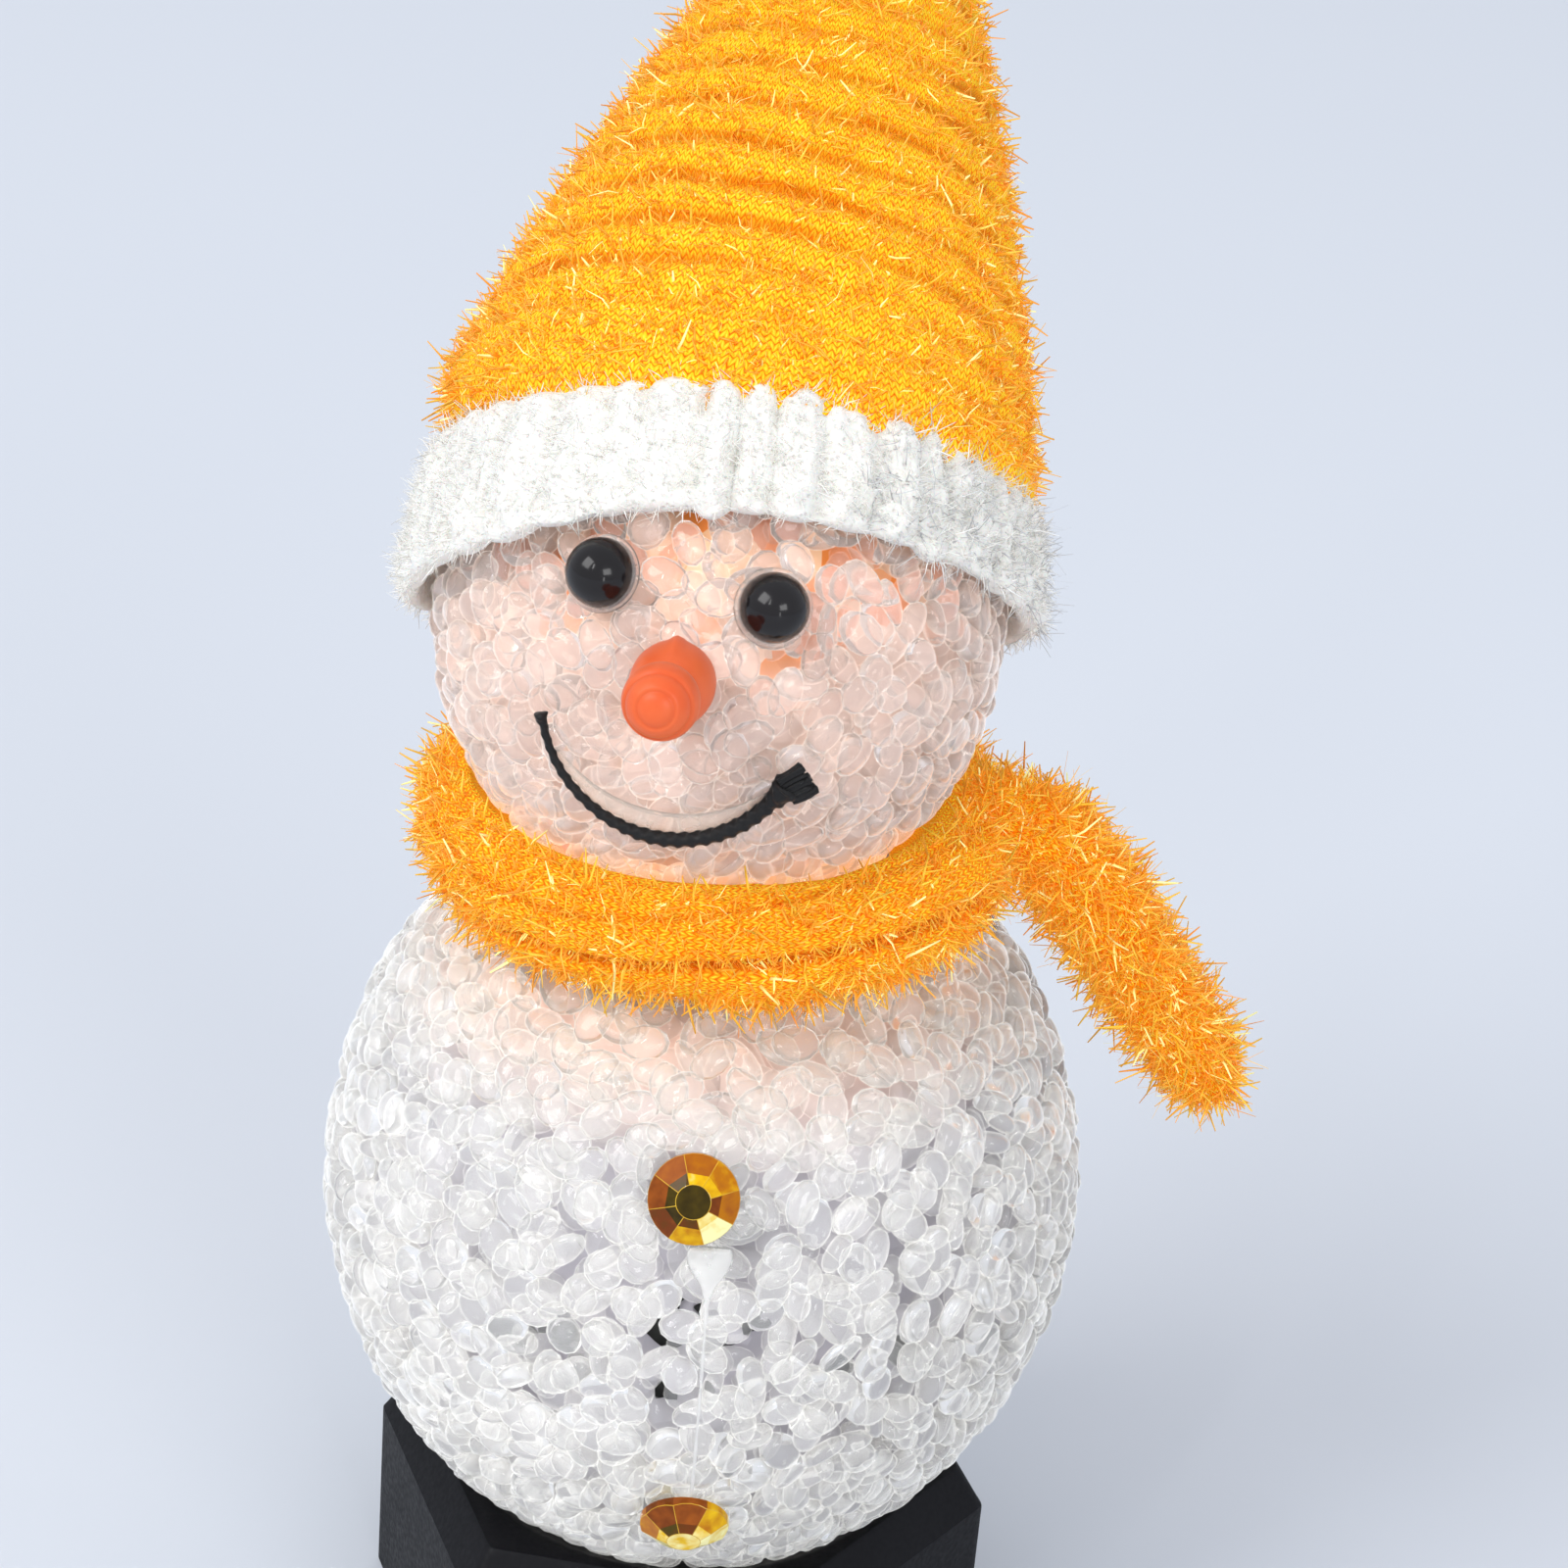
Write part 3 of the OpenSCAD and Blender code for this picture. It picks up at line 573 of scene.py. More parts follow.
def wall_finish(name, gap, tint, tint_from, tint_to, glimpse, glimpse_low, glimpse_high, rare,
                low_tint=(-1, -2)):
    """Inner wall behind the pellets. Its gap colour is painted shade in place of the unlit hollow.
    Towards the top, and below low_tint, it is tinted with painted warm light from the scarf and
    cap, and a few cells in a band of heights are painted dark or bright glimpses of what is
    inside or above, seen through the resin."""
    finish, tree, inputs = new_finish(name, Roughness=0.5)
    place = object_place(tree)
    height = put(tree, "ShaderNodeSeparateXYZ")
    feed(tree, height.inputs[0], place)
    z = height.outputs["Z"]
    # Painted warm light from the scarf and cap: towards the top, and below low_tint.
    colour = mix_colours(tree, in_range(tree, z, tint_from, tint_to), gap, tint)
    colour = mix_colours(tree, in_range(tree, z, low_tint[1], low_tint[0], 1.0, 0.0), colour, tint)
    # Painted glimpses of the hollow, the holder or the cap, in a few cells of a band of heights.
    cells = put(tree, "ShaderNodeTexVoronoi")
    feed(tree, cells.inputs["Vector"], place)
    feed(tree, cells.inputs["Scale"], 280.0)
    pick = put(tree, "ShaderNodeSeparateColor")
    feed(tree, pick.inputs[0], cells.outputs["Color"])
    in_band = reckon(tree, "MULTIPLY", in_range(tree, z, *glimpse_low),
                     in_range(tree, z, *glimpse_high, 1.0, 0.0))
    shown = reckon(tree, "MULTIPLY", in_band, in_range(tree, pick.outputs[0], rare, rare + 0.03))
    feed(tree, inputs["Base Color"], mix_colours(tree, shown, colour, glimpse))
    raise_normal(tree, inputs, cells.outputs["Distance"], 0.6, 1 * mm)
    return finish


def direction_of(turn, rise):
    """Unit vector at turn degrees to the right of the front and rise degrees up."""
    turn, rise = radians(turn), radians(rise)
    return np.array((sin(turn) * cos(rise), -cos(turn) * cos(rise), sin(rise)))


def peephole(number, turn, rise, width):
    """A ragged hole in the fused wall, drawn as a near-black plug of painted shade in place of the
    unlit hollow that shows through it.
    """
    random = np.random.default_rng(60 + number)
    way = direction_of(turn, rise)
    right = np.cross((0, 0, 1), -way)
    right /= np.linalg.norm(right)
    up = np.cross(way, right)
    spin = random.random() * pi
    rings = []
    for depth in (4.9, 3.9):
        ring = []
        for k in range(7):
            t = 2 * pi * k / 7
            reach = width / 2 * mm * (0.6 + 0.5 * abs(cos(t + spin)) + 0.3 * sin(2.6 * k + number))
            ring.append(np.array(body_at) + way * (body_w, body_w, body_h) - way * depth * mm
                        + reach * (cos(t) * right + sin(t) * up))
        rings.append(ring)
    # Near-black painted shade of the hollow, mottled at random.
    dark, tree, inputs = new_finish("painted_hollow_shade", Roughness=0.8, Specular_IOR_Level=0.1)
    shade_mottle = cloud(tree, object_place(tree), 500.0)
    feed(tree, inputs["Base Color"],
         mix_colours(tree, shade_mottle, (0.004, 0.004, 0.004), (0.03, 0.03, 0.028)))
    loft(f"body_peephole_{number}", dark, rings)


def body_ball():
    low, high = -flat_share(opening_r, body_w), flat_share(neck_flat_r, body_w)
    holes = [(-3.1, 6.4, 4.2), (2.9, 10.7, 2.2), (-1.3, 11.6, 1.6), (10.4, 8.6, 3.0), (-2.2, -3.5, 2.8)]
    clear_by, about_r = 0.95, 47
    gaps = [(direction_of(turn, rise), (width / 2 + clear_by) / about_r) for turn, rise, width in holes]
    for number, (turn, rise, width) in enumerate(holes):
        peephole(number + 1, turn, rise, width)
    # Pellets with a painted rim highlight and glow, and painted warm light from the scarf near the
    # neck.
    clear = pellet_finish(
        "resin_body", clear=(0.91, 0.905, 0.895), cloudy=(1.0, 0.99, 0.98), rim=(1.0, 1.0, 0.97),
        transmission=0.84, glow=0.27, warm=(1.0, 0.86, 0.74), warm_from=neck_z - 22 * mm,
        warm_to=neck_z, warm_glow=0.0)
    # Grey-mauve painted shade of the unlit hollow between the pellets, painted peach light from the
    # scarf near the top, and a few near-black cells: a painted view of the dark hollow and black
    # holder.
    painted_light_wall = wall_finish(
        "resin_body_wall", gap=(0.33, 0.315, 0.35), tint=(0.76, 0.52, 0.42),
        tint_from=body_at.z + 20 * mm, tint_to=neck_z - 8 * mm, glimpse=(0.01, 0.01, 0.012),
        glimpse_low=(body_at.z - 32 * mm, body_at.z - 24 * mm),
        glimpse_high=(body_at.z + 2 * mm, body_at.z + 8 * mm), rare=0.93)
    layers = [(layer, ball_pellets(body_at, body_w, body_h, depth, spacing, seed, 1.0, low, high, gaps))
              for layer, depth, spacing, seed in (("skin", 0.0, pellet_spacing, 11),
                                                  ("under", 2.2 * mm, pellet_spacing * 1.06, 12))]
    for side, sign in (("left", -1), ("right", 1)):
        half_ball(f"body_wall_{side}", painted_light_wall, body_at, body_w, body_h,
                  4.4 * mm, 0.6 * mm, seam_turn + (0 if sign > 0 else pi), low, high)
        for layer, (clouds, shape_faces, outward, tones) in layers:
            mine = sign * (outward[:, 0] * cos(seam_turn) + outward[:, 1] * sin(seam_turn)) > 0
            piece = pellet_piece(f"body_{layer}_{side}", clear,
                                 clouds[mine], shape_faces, tones[mine])
            if layer == "skin":
                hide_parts(f"body_shell_{side}")


body_ball()

# ---- Head ball ----
# The same pellets in a smaller mould, split into a front and a back half. The resin runs
# together more, and it is painted with warm light from the orange cap above and the scarf below.


def head_ball():
    low, high = -flat_share(neck_flat_r, head_w), 0.995
    # Pellets with a painted rim highlight and glow, and painted warm light and glow from the scarf.
    clear = pellet_finish(
        "resin_head", clear=(0.93, 0.82, 0.76), cloudy=(1.0, 0.94, 0.91), rim=(1.0, 0.94, 0.89),
        transmission=0.84, glow=0.26, warm=(1.0, 0.67, 0.38), warm_from=head_at.z - 15 * mm,
        warm_to=neck_z, warm_glow=0.75)
    # Peach painted shade of the hollow between the pellets, warmed with painted light from the cap
    # above and the scarf below, and a few orange cells: painted glimpses of the cap through the resin.
    painted_light_wall = wall_finish(
        "resin_head_wall", gap=(0.76, 0.58, 0.50), tint=(1.0, 0.62, 0.36),
        tint_from=head_at.z + 5 * mm, tint_to=head_at.z + 20 * mm, glimpse=(0.9, 0.28, 0.05),
        glimpse_low=(head_at.z + 2 * mm, head_at.z + 12 * mm),
        glimpse_high=(head_at.z + 30 * mm, head_at.z + 34 * mm), rare=0.7,
        low_tint=(head_at.z - 14 * mm, head_at.z - 26 * mm))
    layers = [("skin", ball_pellets(head_at, head_w, head_h, 0.0, 3.5 * mm, 21, 0.96, low, high)),
              ("under", ball_pellets(head_at, head_w, head_h, 2.0 * mm, 3.8 * mm, 22, 0.98, low, high))]
    for side, sign in (("front", -1), ("back", 1)):
        half_ball(f"head_wall_{side}", painted_light_wall, head_at, head_w, head_h,
                  3.8 * mm, 0.6 * mm, sign * pi / 2, low, high)
        for layer, (clouds, shape_faces, outward, tones) in layers:
            mine = sign * outward[:, 1] > 0
            piece = pellet_piece(f"head_{layer}_{side}", clear,
                                 clouds[mine], shape_faces, tones[mine])
            if layer == "skin":
                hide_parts(f"head_shell_{side}")


head_ball()

# ---- Gem buttons ----
# Two round acrylic stones with cut faces and gold foil behind them, glued to the body.
gem_sides = 8
gem_steps = 4
gem_turn = radians(17)


def seat_on(ball_at, half_w, half_h, node):
    """Where a piece sits on a ball's skin: the point, the outward normal, and right and up."""
    low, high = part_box(node)
    way = (low + high) / 2 - ball_at
    scale = 1 / sqrt((way.x ** 2 + way.y ** 2) / half_w ** 2 + way.z ** 2 / half_h ** 2)
    offset = way * scale
    normal = Vector((offset.x / half_w ** 2, offset.y / half_w ** 2,
                     offset.z / half_h ** 2)).normalized()
    right = Vector((0, 0, 1)).cross(normal).normalized()
    return ball_at + offset, normal, right, normal.cross(right)


def stand(seat, points):
    """Moves points from a seat's own right, up and outward directions to their real place."""
    at, normal, right, up = (np.array(v) for v in seat)
    return at + np.asarray(points, float) @ np.array((right, up, normal))


def gem_finishes():
    foil, tree, inputs = new_finish("gem_foil", Roughness=0.15, Coat_Weight=0.15, Coat_Roughness=0.02,
                                    Specular_IOR_Level=0.1)
    # The ramp turns each facet's tone into foil colour, dark to bright: painted reflections, varied by
    # a little random swirl.
    ramp = put(tree, "ShaderNodeValToRGB")
    stops = [(0.0, (0.02, 0.012, 0.0005)), (0.2, (0.07, 0.045, 0.002)), (0.4, (0.16, 0.034, 0.003)),
             (0.58, (0.34, 0.085, 0.008)), (0.74, (0.5, 0.17, 0.001)), (0.88, (0.82, 0.5, 0.004)),
             (1.0, (1.0, 0.93, 0.45))]
    for place, colour in stops[1:-1]:
        ramp.color_ramp.elements.new(place).color = (*colour, 1)
    ramp.color_ramp.elements[0].color = (*stops[0][1], 1)
    ramp.color_ramp.elements[-1].color = (*stops[-1][1], 1)
    tone = put(tree, "ShaderNodeAttribute", attribute_name="tone").outputs["Fac"]
    swirl = cloud(tree, object_place(tree), 700.0)
    shifted = reckon(tree, "ADD", tone,
                     reckon(tree, "MULTIPLY", reckon(tree, "SUBTRACT", swirl, 0.5), 0.3))
    feed(tree, ramp.inputs[0], shifted)
    feed(tree, inputs["Base Color"], ramp.outputs[0])
    edge, tree, inputs = new_finish("gem_edge", Roughness=0.15, Coat_Weight=0.4, Specular_IOR_Level=0.2)
    # Painted glints along the cut edges: noise between dark amber and bright gold.
    glint = cloud(tree, object_place(tree), 900.0)
    feed(tree, inputs["Base Color"], mix_colours(tree, glint, (0.36, 0.15, 0.004), (0.95, 0.62, 0.04)))
    return foil, edge


gem_foil, gem_edge = gem_finishes()


def gem(node, tones):
    """tones holds the painted reflections of the outer facets, the inner facets and the flat
    table, as places on the foil ramp from dark to bright.
    """
    girdle_r, girdle_z, slope = 5.0, 0.8, 0.72
    levels = [("round", girdle_r, 0.0), ("facet", girdle_r, None), ("cut", 3.15, None),
              ("cut", 1.9, 2.95)]
    around = gem_sides * gem_steps
    rings = []
    for kind, r, z in levels:
        ring = []
        for k in range(around):
            angle = 2 * pi * k / around
            off = (k % gem_steps) / gem_steps * 2 * pi / gem_sides - pi / gem_sides
            reach = r if kind != "cut" or z else r * cos(pi / gem_sides) / cos(off)
            top = girdle_z + slope * (girdle_r - reach * cos(off)) if z is None else z
            ring.append((mm * reach * cos(angle + gem_turn), mm * reach * sin(angle + gem_turn),
                         mm * top))
        rings.append(ring)
    seat = seat_on(body_at, body_w, body_h, node)
    seated = [stand(seat, ring) for ring in rings]
    piece = loft(node + "_stone", gem_foil, seated, smooth=False)
    tone = piece.data.attributes.new("tone", "FLOAT", "FACE")
    middle, _, right, up = seat
    for face in piece.data.polygons:
        spot = face.center - middle
        x, y = spot.dot(right), spot.dot(up)
        facet = int(degrees(atan2(y, x) - gem_turn) % 360 / 360 * gem_sides)
        r = sqrt(x * x + y * y) / mm
        ring = 0 if r > 2.9 else 1 if r > 1.2 else 2
        tone.data[face.index].value = tones[ring][facet % len(tones[ring])]
    piece.data.materials.append(gem_edge)
    trim = piece.modifiers.new("cut edges", "BEVEL")
    trim.width = 0.04 * mm
    trim.segments = 1
    trim.limit_method = "ANGLE"
    trim.angle_limit = radians(12)
    trim.material = 1
    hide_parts(node)


# The facet tones are painted reflections of the foil, bright where it would catch the light.
gem("gem_upper", [(0.76, 0.64, 0.58, 0.48, 0.4, 0.8, 1.0, 0.68),
                  (0.84, 0.87, 0.22, 0.12, 0.08, 0.32, 0.94, 0.4), (0.12,)])
gem("gem_lower", [(0.8, 0.5, 0.42, 0.7, 0.98, 1.0, 1.0, 0.95),
                  (0.94, 0.35, 0.24, 0.88, 0.95, 1.0, 0.9, 1.0), (0.93,)])

# ---- Seam glue ----
# Milky glue squeezed out along the front of the body's seam. It runs down from a patch
# under the upper gem.


def glue_finish(name, colour, transmission):
    finish, tree, inputs = new_finish(name, Transmission_Weight=transmission, IOR=1.35)
    place = object_place(tree)
    milk = cloud(tree, place, 350.0)
    feed(tree, inputs["Base Color"],
         mix_colours(tree, milk, colour, tuple(min(1.0, c * 1.06) for c in colour)))
    feed(tree, inputs["Roughness"], in_range(tree, milk, 0.3, 0.7, 0.12, 0.3))
    raise_normal(tree, inputs, milk, 0.3, 0.4 * mm)
    let_light_through(finish)
    return finish


def along_path(path, radii, around, section=None):
    """Rings round a path. section(share, angles) gives each ring's own radius factors."""
    path = np.asarray(path, float)
    tangents = np.gradient(path, axis=0)
    tangents /= np.linalg.norm(tangents, axis=1)[:, None]
    side = np.cross(tangents[0], (0, 0, 1.0))
    angles = np.linspace(0, 2 * pi, around, endpoint=False)
    rings = []
    for i, (at, ahead_now) in enumerate(zip(path, tangents)):
        side = side - ahead_now * (side @ ahead_now)
        side /= np.linalg.norm(side)
        third = np.cross(ahead_now, side)
        factors = 1.0 if section is None else section(i / (len(path) - 1), angles)
        reach = (radii[i] * factors * np.ones(around))[:, None]
        rings.append(at + reach * (np.cos(angles)[:, None] * side + np.sin(angles)[:, None] * third))
    return rings


def seam_glue():
    path, radii = [], []
    for share in np.linspace(0, 1, 80):
        rise = 22.5 - 45 * share
        patch = 2.3 * np.exp(-((share - 0.03) / 0.085) ** 2)
        wide = 0.17 + patch + 0.05 * sin(37 * share) + 0.03 * sin(91 * share)
        way = direction_of(degrees(seam_turn), rise)
        skin = 1 / np.linalg.norm(way / (body_w, body_w, body_h))
        path.append(np.array(body_at) + way * (skin + 0.05 * mm))
        radii.append(wide * mm)
    rings = np.array(along_path(path, radii, 12))
    scale = np.array((body_w, body_w, body_h))
    offset = (rings - np.array(body_at)) / scale
    level = np.linalg.norm(offset, axis=2)[:, :, None]
    pressed = np.array(body_at) + offset * (1 + (level - 1) * 0.25) / level * scale
    milky = glue_finish("seam_glue", (0.90, 0.895, 0.88), 0.7)
    loft("body_seam_glue", milky, pressed)


seam_glue()

# ---- Eyes ----
# Two moulded half beads in glossy black, each set in a ring of clear hot glue.


def turned(outline, around=48):
    """Rings of an outline of (radius, height) points turned about the height axis, in mm."""
    return [[(mm * r * cos(2 * pi * k / around), mm * r * sin(2 * pi * k / around), mm * z)
             for k in range(around)] for r, z in outline]


def eye_finish():
    finish, tree, inputs = new_finish("eye_black", Coat_Weight=0.15, Coat_Roughness=0.03,
                                      Specular_IOR_Level=0.3)
    place = object_place(tree)
    drift = cloud(tree, place, 200.0)
    feed(tree, inputs["Base Color"],
         mix_colours(tree, drift, (0.006, 0.005, 0.005), (0.010, 0.008, 0.009)))
    feed(tree, inputs["Roughness"], in_range(tree, cloud(tree, place, 900.0), 0.3, 0.8, 0.12, 0.22))
    return finish


bead_black = eye_finish()
clear_glue = glue_finish("clear_glue", (0.95, 0.88, 0.83), 0.85)


def eye(node):
    seat = seat_on(head_at, head_w, head_h, node)
    half_w, tall = 3.7, 4.0
    dome = [(half_w * cos(t), tall * sin(t)) for t in np.linspace(0, radians(88), 16)]
    outline = [(half_w - 0.5, -0.6), (half_w - 0.05, -0.35), *dome]
    piece = loft(node + "_bead", bead_black,
                 [stand(seat, ring) for ring in turned(outline)])
    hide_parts(node)
    bead = [(half_w - 0.2, -0.6), (half_w + 0.45, -0.5), (half_w + 0.38, 0.0), (half_w + 0.18, 0.28),
            (half_w + 0.01, 0.42), (half_w - 0.2, 0.3)]
    loft(node + "_glue", clear_glue, [stand(seat, ring) for ring in turned(bead)],
         looped=True)


eye("eye_left")
eye("eye_right")

# ---- Nose ----
# A stubby carrot moulded in soft satin coral vinyl: a plump root with a raised mould line,
# a waist, and a round tip with two shallow rings.


def nose_finish():
    finish, tree, inputs = new_finish("vinyl_coral", Specular_IOR_Level=0.3, Subsurface_Weight=0.08,
                                      Subsurface_Scale=1 * mm)
    inputs["Subsurface Radius"].default_value = (1.0, 0.35, 0.2)
    place = object_place(tree)
    drift = cloud(tree, place, 260.0, 3.0)
    feed(tree, inputs["Base Color"],
         mix_colours(tree, drift, (0.72, 0.085, 0.018), (0.84, 0.175, 0.05)))
    feed(tree, inputs["Roughness"], in_range(tree, drift, 0.3, 0.7, 0.34, 0.5))
    raise_normal(tree, inputs, cloud(tree, place, 900.0, 2.0), 0.12, 0.2 * mm)
    return finish


def nose():
    seat = seat_on(head_at, head_w, head_h, "nose")
    root = [(3.3, -1.5), (3.9, -0.6), (4.3, 0.6), (4.45, 2.0), (4.4, 3.4), (4.15, 4.8), (3.75, 6.1)]
    waist = [(3.35, 7.0), (3.2, 7.5), (3.5, 8.0), (3.88, 8.8), (4.0, 9.7), (3.95, 10.6)]
    outer_ring = [(3.74, 11.35), (3.58, 11.7), (3.34, 11.72), (3.28, 11.95), (3.24, 12.2)]
    inner_ring = [(2.95, 12.8), (2.4, 13.3), (2.08, 13.5), (1.9, 13.36), (1.76, 13.54)]
    tip = [(1.3, 13.82), (0.7, 13.97), (0.15, 14.0)]
    outline = root + waist + outer_ring + inner_ring + tip
    rings = np.array(turned(outline, 64))
    angles = np.arctan2(rings[:, :, 1], rings[:, :, 0])
    ridge = np.exp(-((angles - pi / 2) / 0.16) ** 2)
    near_root = np.clip(1 - np.abs(rings[:, :, 2] / mm - 2.2) / 4.5, 0, 1)
    rings[:, :, :2] *= (1 + 0.15 * ridge * near_root)[:, :, None]
    piece = loft("nose_carrot", nose_finish(), [stand(seat, ring) for ring in rings])
    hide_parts("nose")


nose()

# ---- Mouth ----
# A braided black cord glued to the head in a smile. It is pulled thin at one end, and the
# cut end is frayed into a tuft. A band of milky glue shows inside the curve.
smile_turn, smile_rise, smile_r = radians(-7), radians(5), radians(25)
smile_from, smile_to = radians(-81), radians(66)


def on_head(turn, rise, lift):
    """A point over the head in the direction turn and rise, lift above the skin."""
    wide, tall = head_w + lift, head_h + lift
    far = 1 / sqrt((cos(rise) / wide) ** 2 + (sin(rise) / tall) ** 2)
    return np.array(head_at) + far * np.array((sin(turn) * cos(rise), -cos(turn) * cos(rise),
                                               sin(rise)))


def smile_point(share, lift, inward=0.0):
    t = smile_from + (smile_to - smile_from) * share
    reach = smile_r - inward
    return on_head(smile_turn + reach * sin(t), smile_rise - reach * cos(t), lift)


def cord_finish():
    finish, tree, inputs = new_finish("cord_black", Sheen_Weight=0.08, Sheen_Roughness=0.4,
                                      Specular_IOR_Level=0.3)
    fibres = cloud(tree, object_place(tree), 2600.0, 2.0)
    feed(tree, inputs["Base Color"],
         mix_colours(tree, fibres, (0.002, 0.002, 0.002), (0.012, 0.011, 0.011)))
    feed(tree, inputs["Roughness"], in_range(tree, fibres, 0.3, 0.7, 0.4, 0.7))
    raise_normal(tree, inputs, fibres, 0.5, 0.1 * mm)
    return finish


def mouth():
    black = cord_finish()
    shares = np.linspace(0, 1, 150)
    thick = mm * np.interp(shares, (0, 0.03, 0.1, 0.3, 0.55, 0.92, 0.97, 1),
                           (0.72, 0.44, 0.42, 0.52, 0.78, 0.84, 1.3, 1.5))

    def braid(share, angles):
        return 1 + 0.13 * np.sin(3 * angles + share * 150) + 0.07 * np.sin(3 * angles - share * 150)

    path = [smile_point(s, r) for s, r in zip(shares, thick)]
    cord = loft("mouth_braid", black, along_path(path, thick, 18, braid))
    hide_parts("mouth_cord")
    random = np.random.default_rng(41)
    end, before = path[-1], path[-8]
    onward = (end - before) / np.linalg.norm(end - before)
    outward = end - np.array(head_at)
    outward /= np.linalg.norm(outward)
    onward = onward + 0.8 * np.cross((0, 0, 1), outward)
    onward -= outward * (onward @ outward)
    onward /= np.linalg.norm(onward)
    across = np.cross(outward, onward)
    for number in range(40):
        fan = -1 + 2 * (number + 0.5) / 40
        lift = random.uniform(-0.2, 1.5)
        start = end + across * fan * 1.75 * mm + outward * lift * 0.5 * mm - onward * 0.5 * mm
        reach = random.uniform(2.3, 3.1) * mm
        tip = start + onward * reach + across * fan * 0.12 * mm + outward * lift * 0.2 * mm
        bend = across * random.uniform(-0.25, 0.25) * mm
        strand = [start + (tip - start) * u + bend * sin(pi * u) for u in np.linspace(0, 1, 7)]
        loft(f"mouth_strand_{number + 1}", black, along_path(strand, [0.26 * mm] * 7, 7))
    glue = glue_finish("milky_glue", (0.96, 0.86, 0.78), 0.8)
    shares = np.linspace(0.12, 0.93, 60)
    wide = mm * (0.15 + 1.25 * np.sin(pi * np.linspace(0, 1, 60)) ** 0.8)
    path = [smile_point(s, 0.0, w / head_w * 0.9 + 0.012) for s, w in zip(shares, wide)]
    rings = np.array(along_path(path, wide, 16))
    centre = np.array(head_at)
    scale = np.array((head_w, head_w, head_h))
    level = np.linalg.norm((rings - centre) / scale, axis=2)
    squashed = centre + (rings - centre) * ((1 + (level - 1) * 0.3) / level)[:, :, None]
    loft("mouth_glue", glue, squashed)


mouth()

# ---- Scarf ----
# A narrow tube of fine orange knit with lurex tinsel plaited in, rolled round the neck. One
# end hangs free over the shoulder.
scarf_low, scarf_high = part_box("scarf_ring")
scarf_at = Vector(((scarf_low.x + scarf_high.x) / 2, 0, neck_z + 2.4 * mm))
scarf_loop = 27 * mm
scarf_roll = 7 * mm


def knit_group():
    """Rows of V stitches from a map of columns and rows: their height, with painted shade in the
    gaps between and a painted highlight on the raised loops.
    """
    tree, given, out = new_group("knit", {
        "Columns": ("Float", 200.0), "Rows": ("Float", 100.0),
        "Yarn": ("Color", (1, 1, 1)), "Shade": ("Color", (0, 0, 0)), "Tip": ("Color", (1, 1, 1)),
    }, {"Colour": ("Color", None), "Height": ("Float", None)})
    stitch_map = put(tree, "ShaderNodeUVMap", uv_map="stitches")
    axes = put(tree, "ShaderNodeSeparateXYZ")
    feed(tree, axes.inputs[0], stitch_map.outputs[0])
    place = object_place(tree)
    wander = reckon(tree, "MULTIPLY", reckon(tree, "SUBTRACT", cloud(tree, place, 260.0), 0.5), 1.6)
    column = reckon(tree, "ADD", reckon(tree, "MULTIPLY", axes.outputs["X"], given["Columns"]), wander)
    row = reckon(tree, "ADD", reckon(tree, "MULTIPLY", axes.outputs["Y"], given["Rows"]), wander)
    from_middle = reckon(tree, "ABSOLUTE", reckon(tree, "SUBTRACT", reckon(tree, "FRACT", column), 0.5))
    slanted = reckon(tree, "FRACT",
                     reckon(tree, "SUBTRACT", row, reckon(tree, "MULTIPLY", from_middle, 1.3)))
    loop = reckon(tree, "SINE", reckon(tree, "MULTIPLY", slanted, pi))
    leg = reckon(tree, "SINE", reckon(tree, "MULTIPLY", reckon(tree, "MULTIPLY", from_middle, 2.0), pi))
    height = reckon(tree, "MULTIPLY", loop,
                    reckon(tree, "ADD", reckon(tree, "MULTIPLY", leg, 0.65), 0.35))
    fuzz = cloud(tree, place, 1500.0, 3.0)
    raised = reckon(tree, "ADD", reckon(tree, "MULTIPLY", height, 0.75),
                    reckon(tree, "MULTIPLY", fuzz, 0.5))
    # Painted shade in the low gaps and painted highlight on the raised loops.
    dark = in_range(tree, raised, 0.2, 0.62, 1.0, 0.0)
    light = in_range(tree, raised, 0.62, 1.05)
    body_colour = mix_colours(tree, dark, given["Yarn"], given["Shade"])
    feed(tree, out["Colour"], mix_colours(tree, light, body_colour, given["Tip"]))
    feed(tree, out["Height"], raised)


knit_group()
# Painted shade in the gaps between stitches, painted highlight on the loop tops, and painted shade in
# the creases.
yarn_shade = (0.92, 0.12, 0.001)
yarn_tip = (1.0, 0.68, 0.04)
crease_shade_colour = (0.95, 0.20, 0.002)


def knit_finish(name, columns, rows, yarn):
    """Yarn with a painted glow of its own colour, and painted shade in the creases that a piece
    is marked with: a deeper colour and less glow there.
    """
    finish, tree, inputs = new_finish(name, Roughness=0.8, Sheen_Weight=0.2, Sheen_Roughness=0.4,
                                      Specular_IOR_Level=0.1)
    inputs["Sheen Tint"].default_value = (1, 0.65, 0.15, 1)
    made = use_group(tree, "knit", Columns=columns, Rows=rows, Yarn=yarn, Shade=yarn_shade,
                     Tip=yarn_tip)
    crease = put(tree, "ShaderNodeAttribute", attribute_name="crease").outputs["Fac"]
    crease_shade = in_range(tree, crease, 0.08, 0.75)
    colour = mix_colours(tree, reckon(tree, "MULTIPLY", crease_shade, 0.65), made["Colour"], crease_shade_colour)
    feed(tree, inputs["Base Color"], colour)
    # Painted glow: the yarn emits its own colour, less in the creases.
    feed(tree, inputs["Emission Color"], colour)
    feed(tree, inputs["Emission Strength"], in_range(tree, crease, 0.05, 0.8, 0.27, 0.04))
    finish.cycles.emission_sampling = "NONE"
    raise_normal(tree, inputs, made["Height"], 0.8, 0.5 * mm)
    return finish


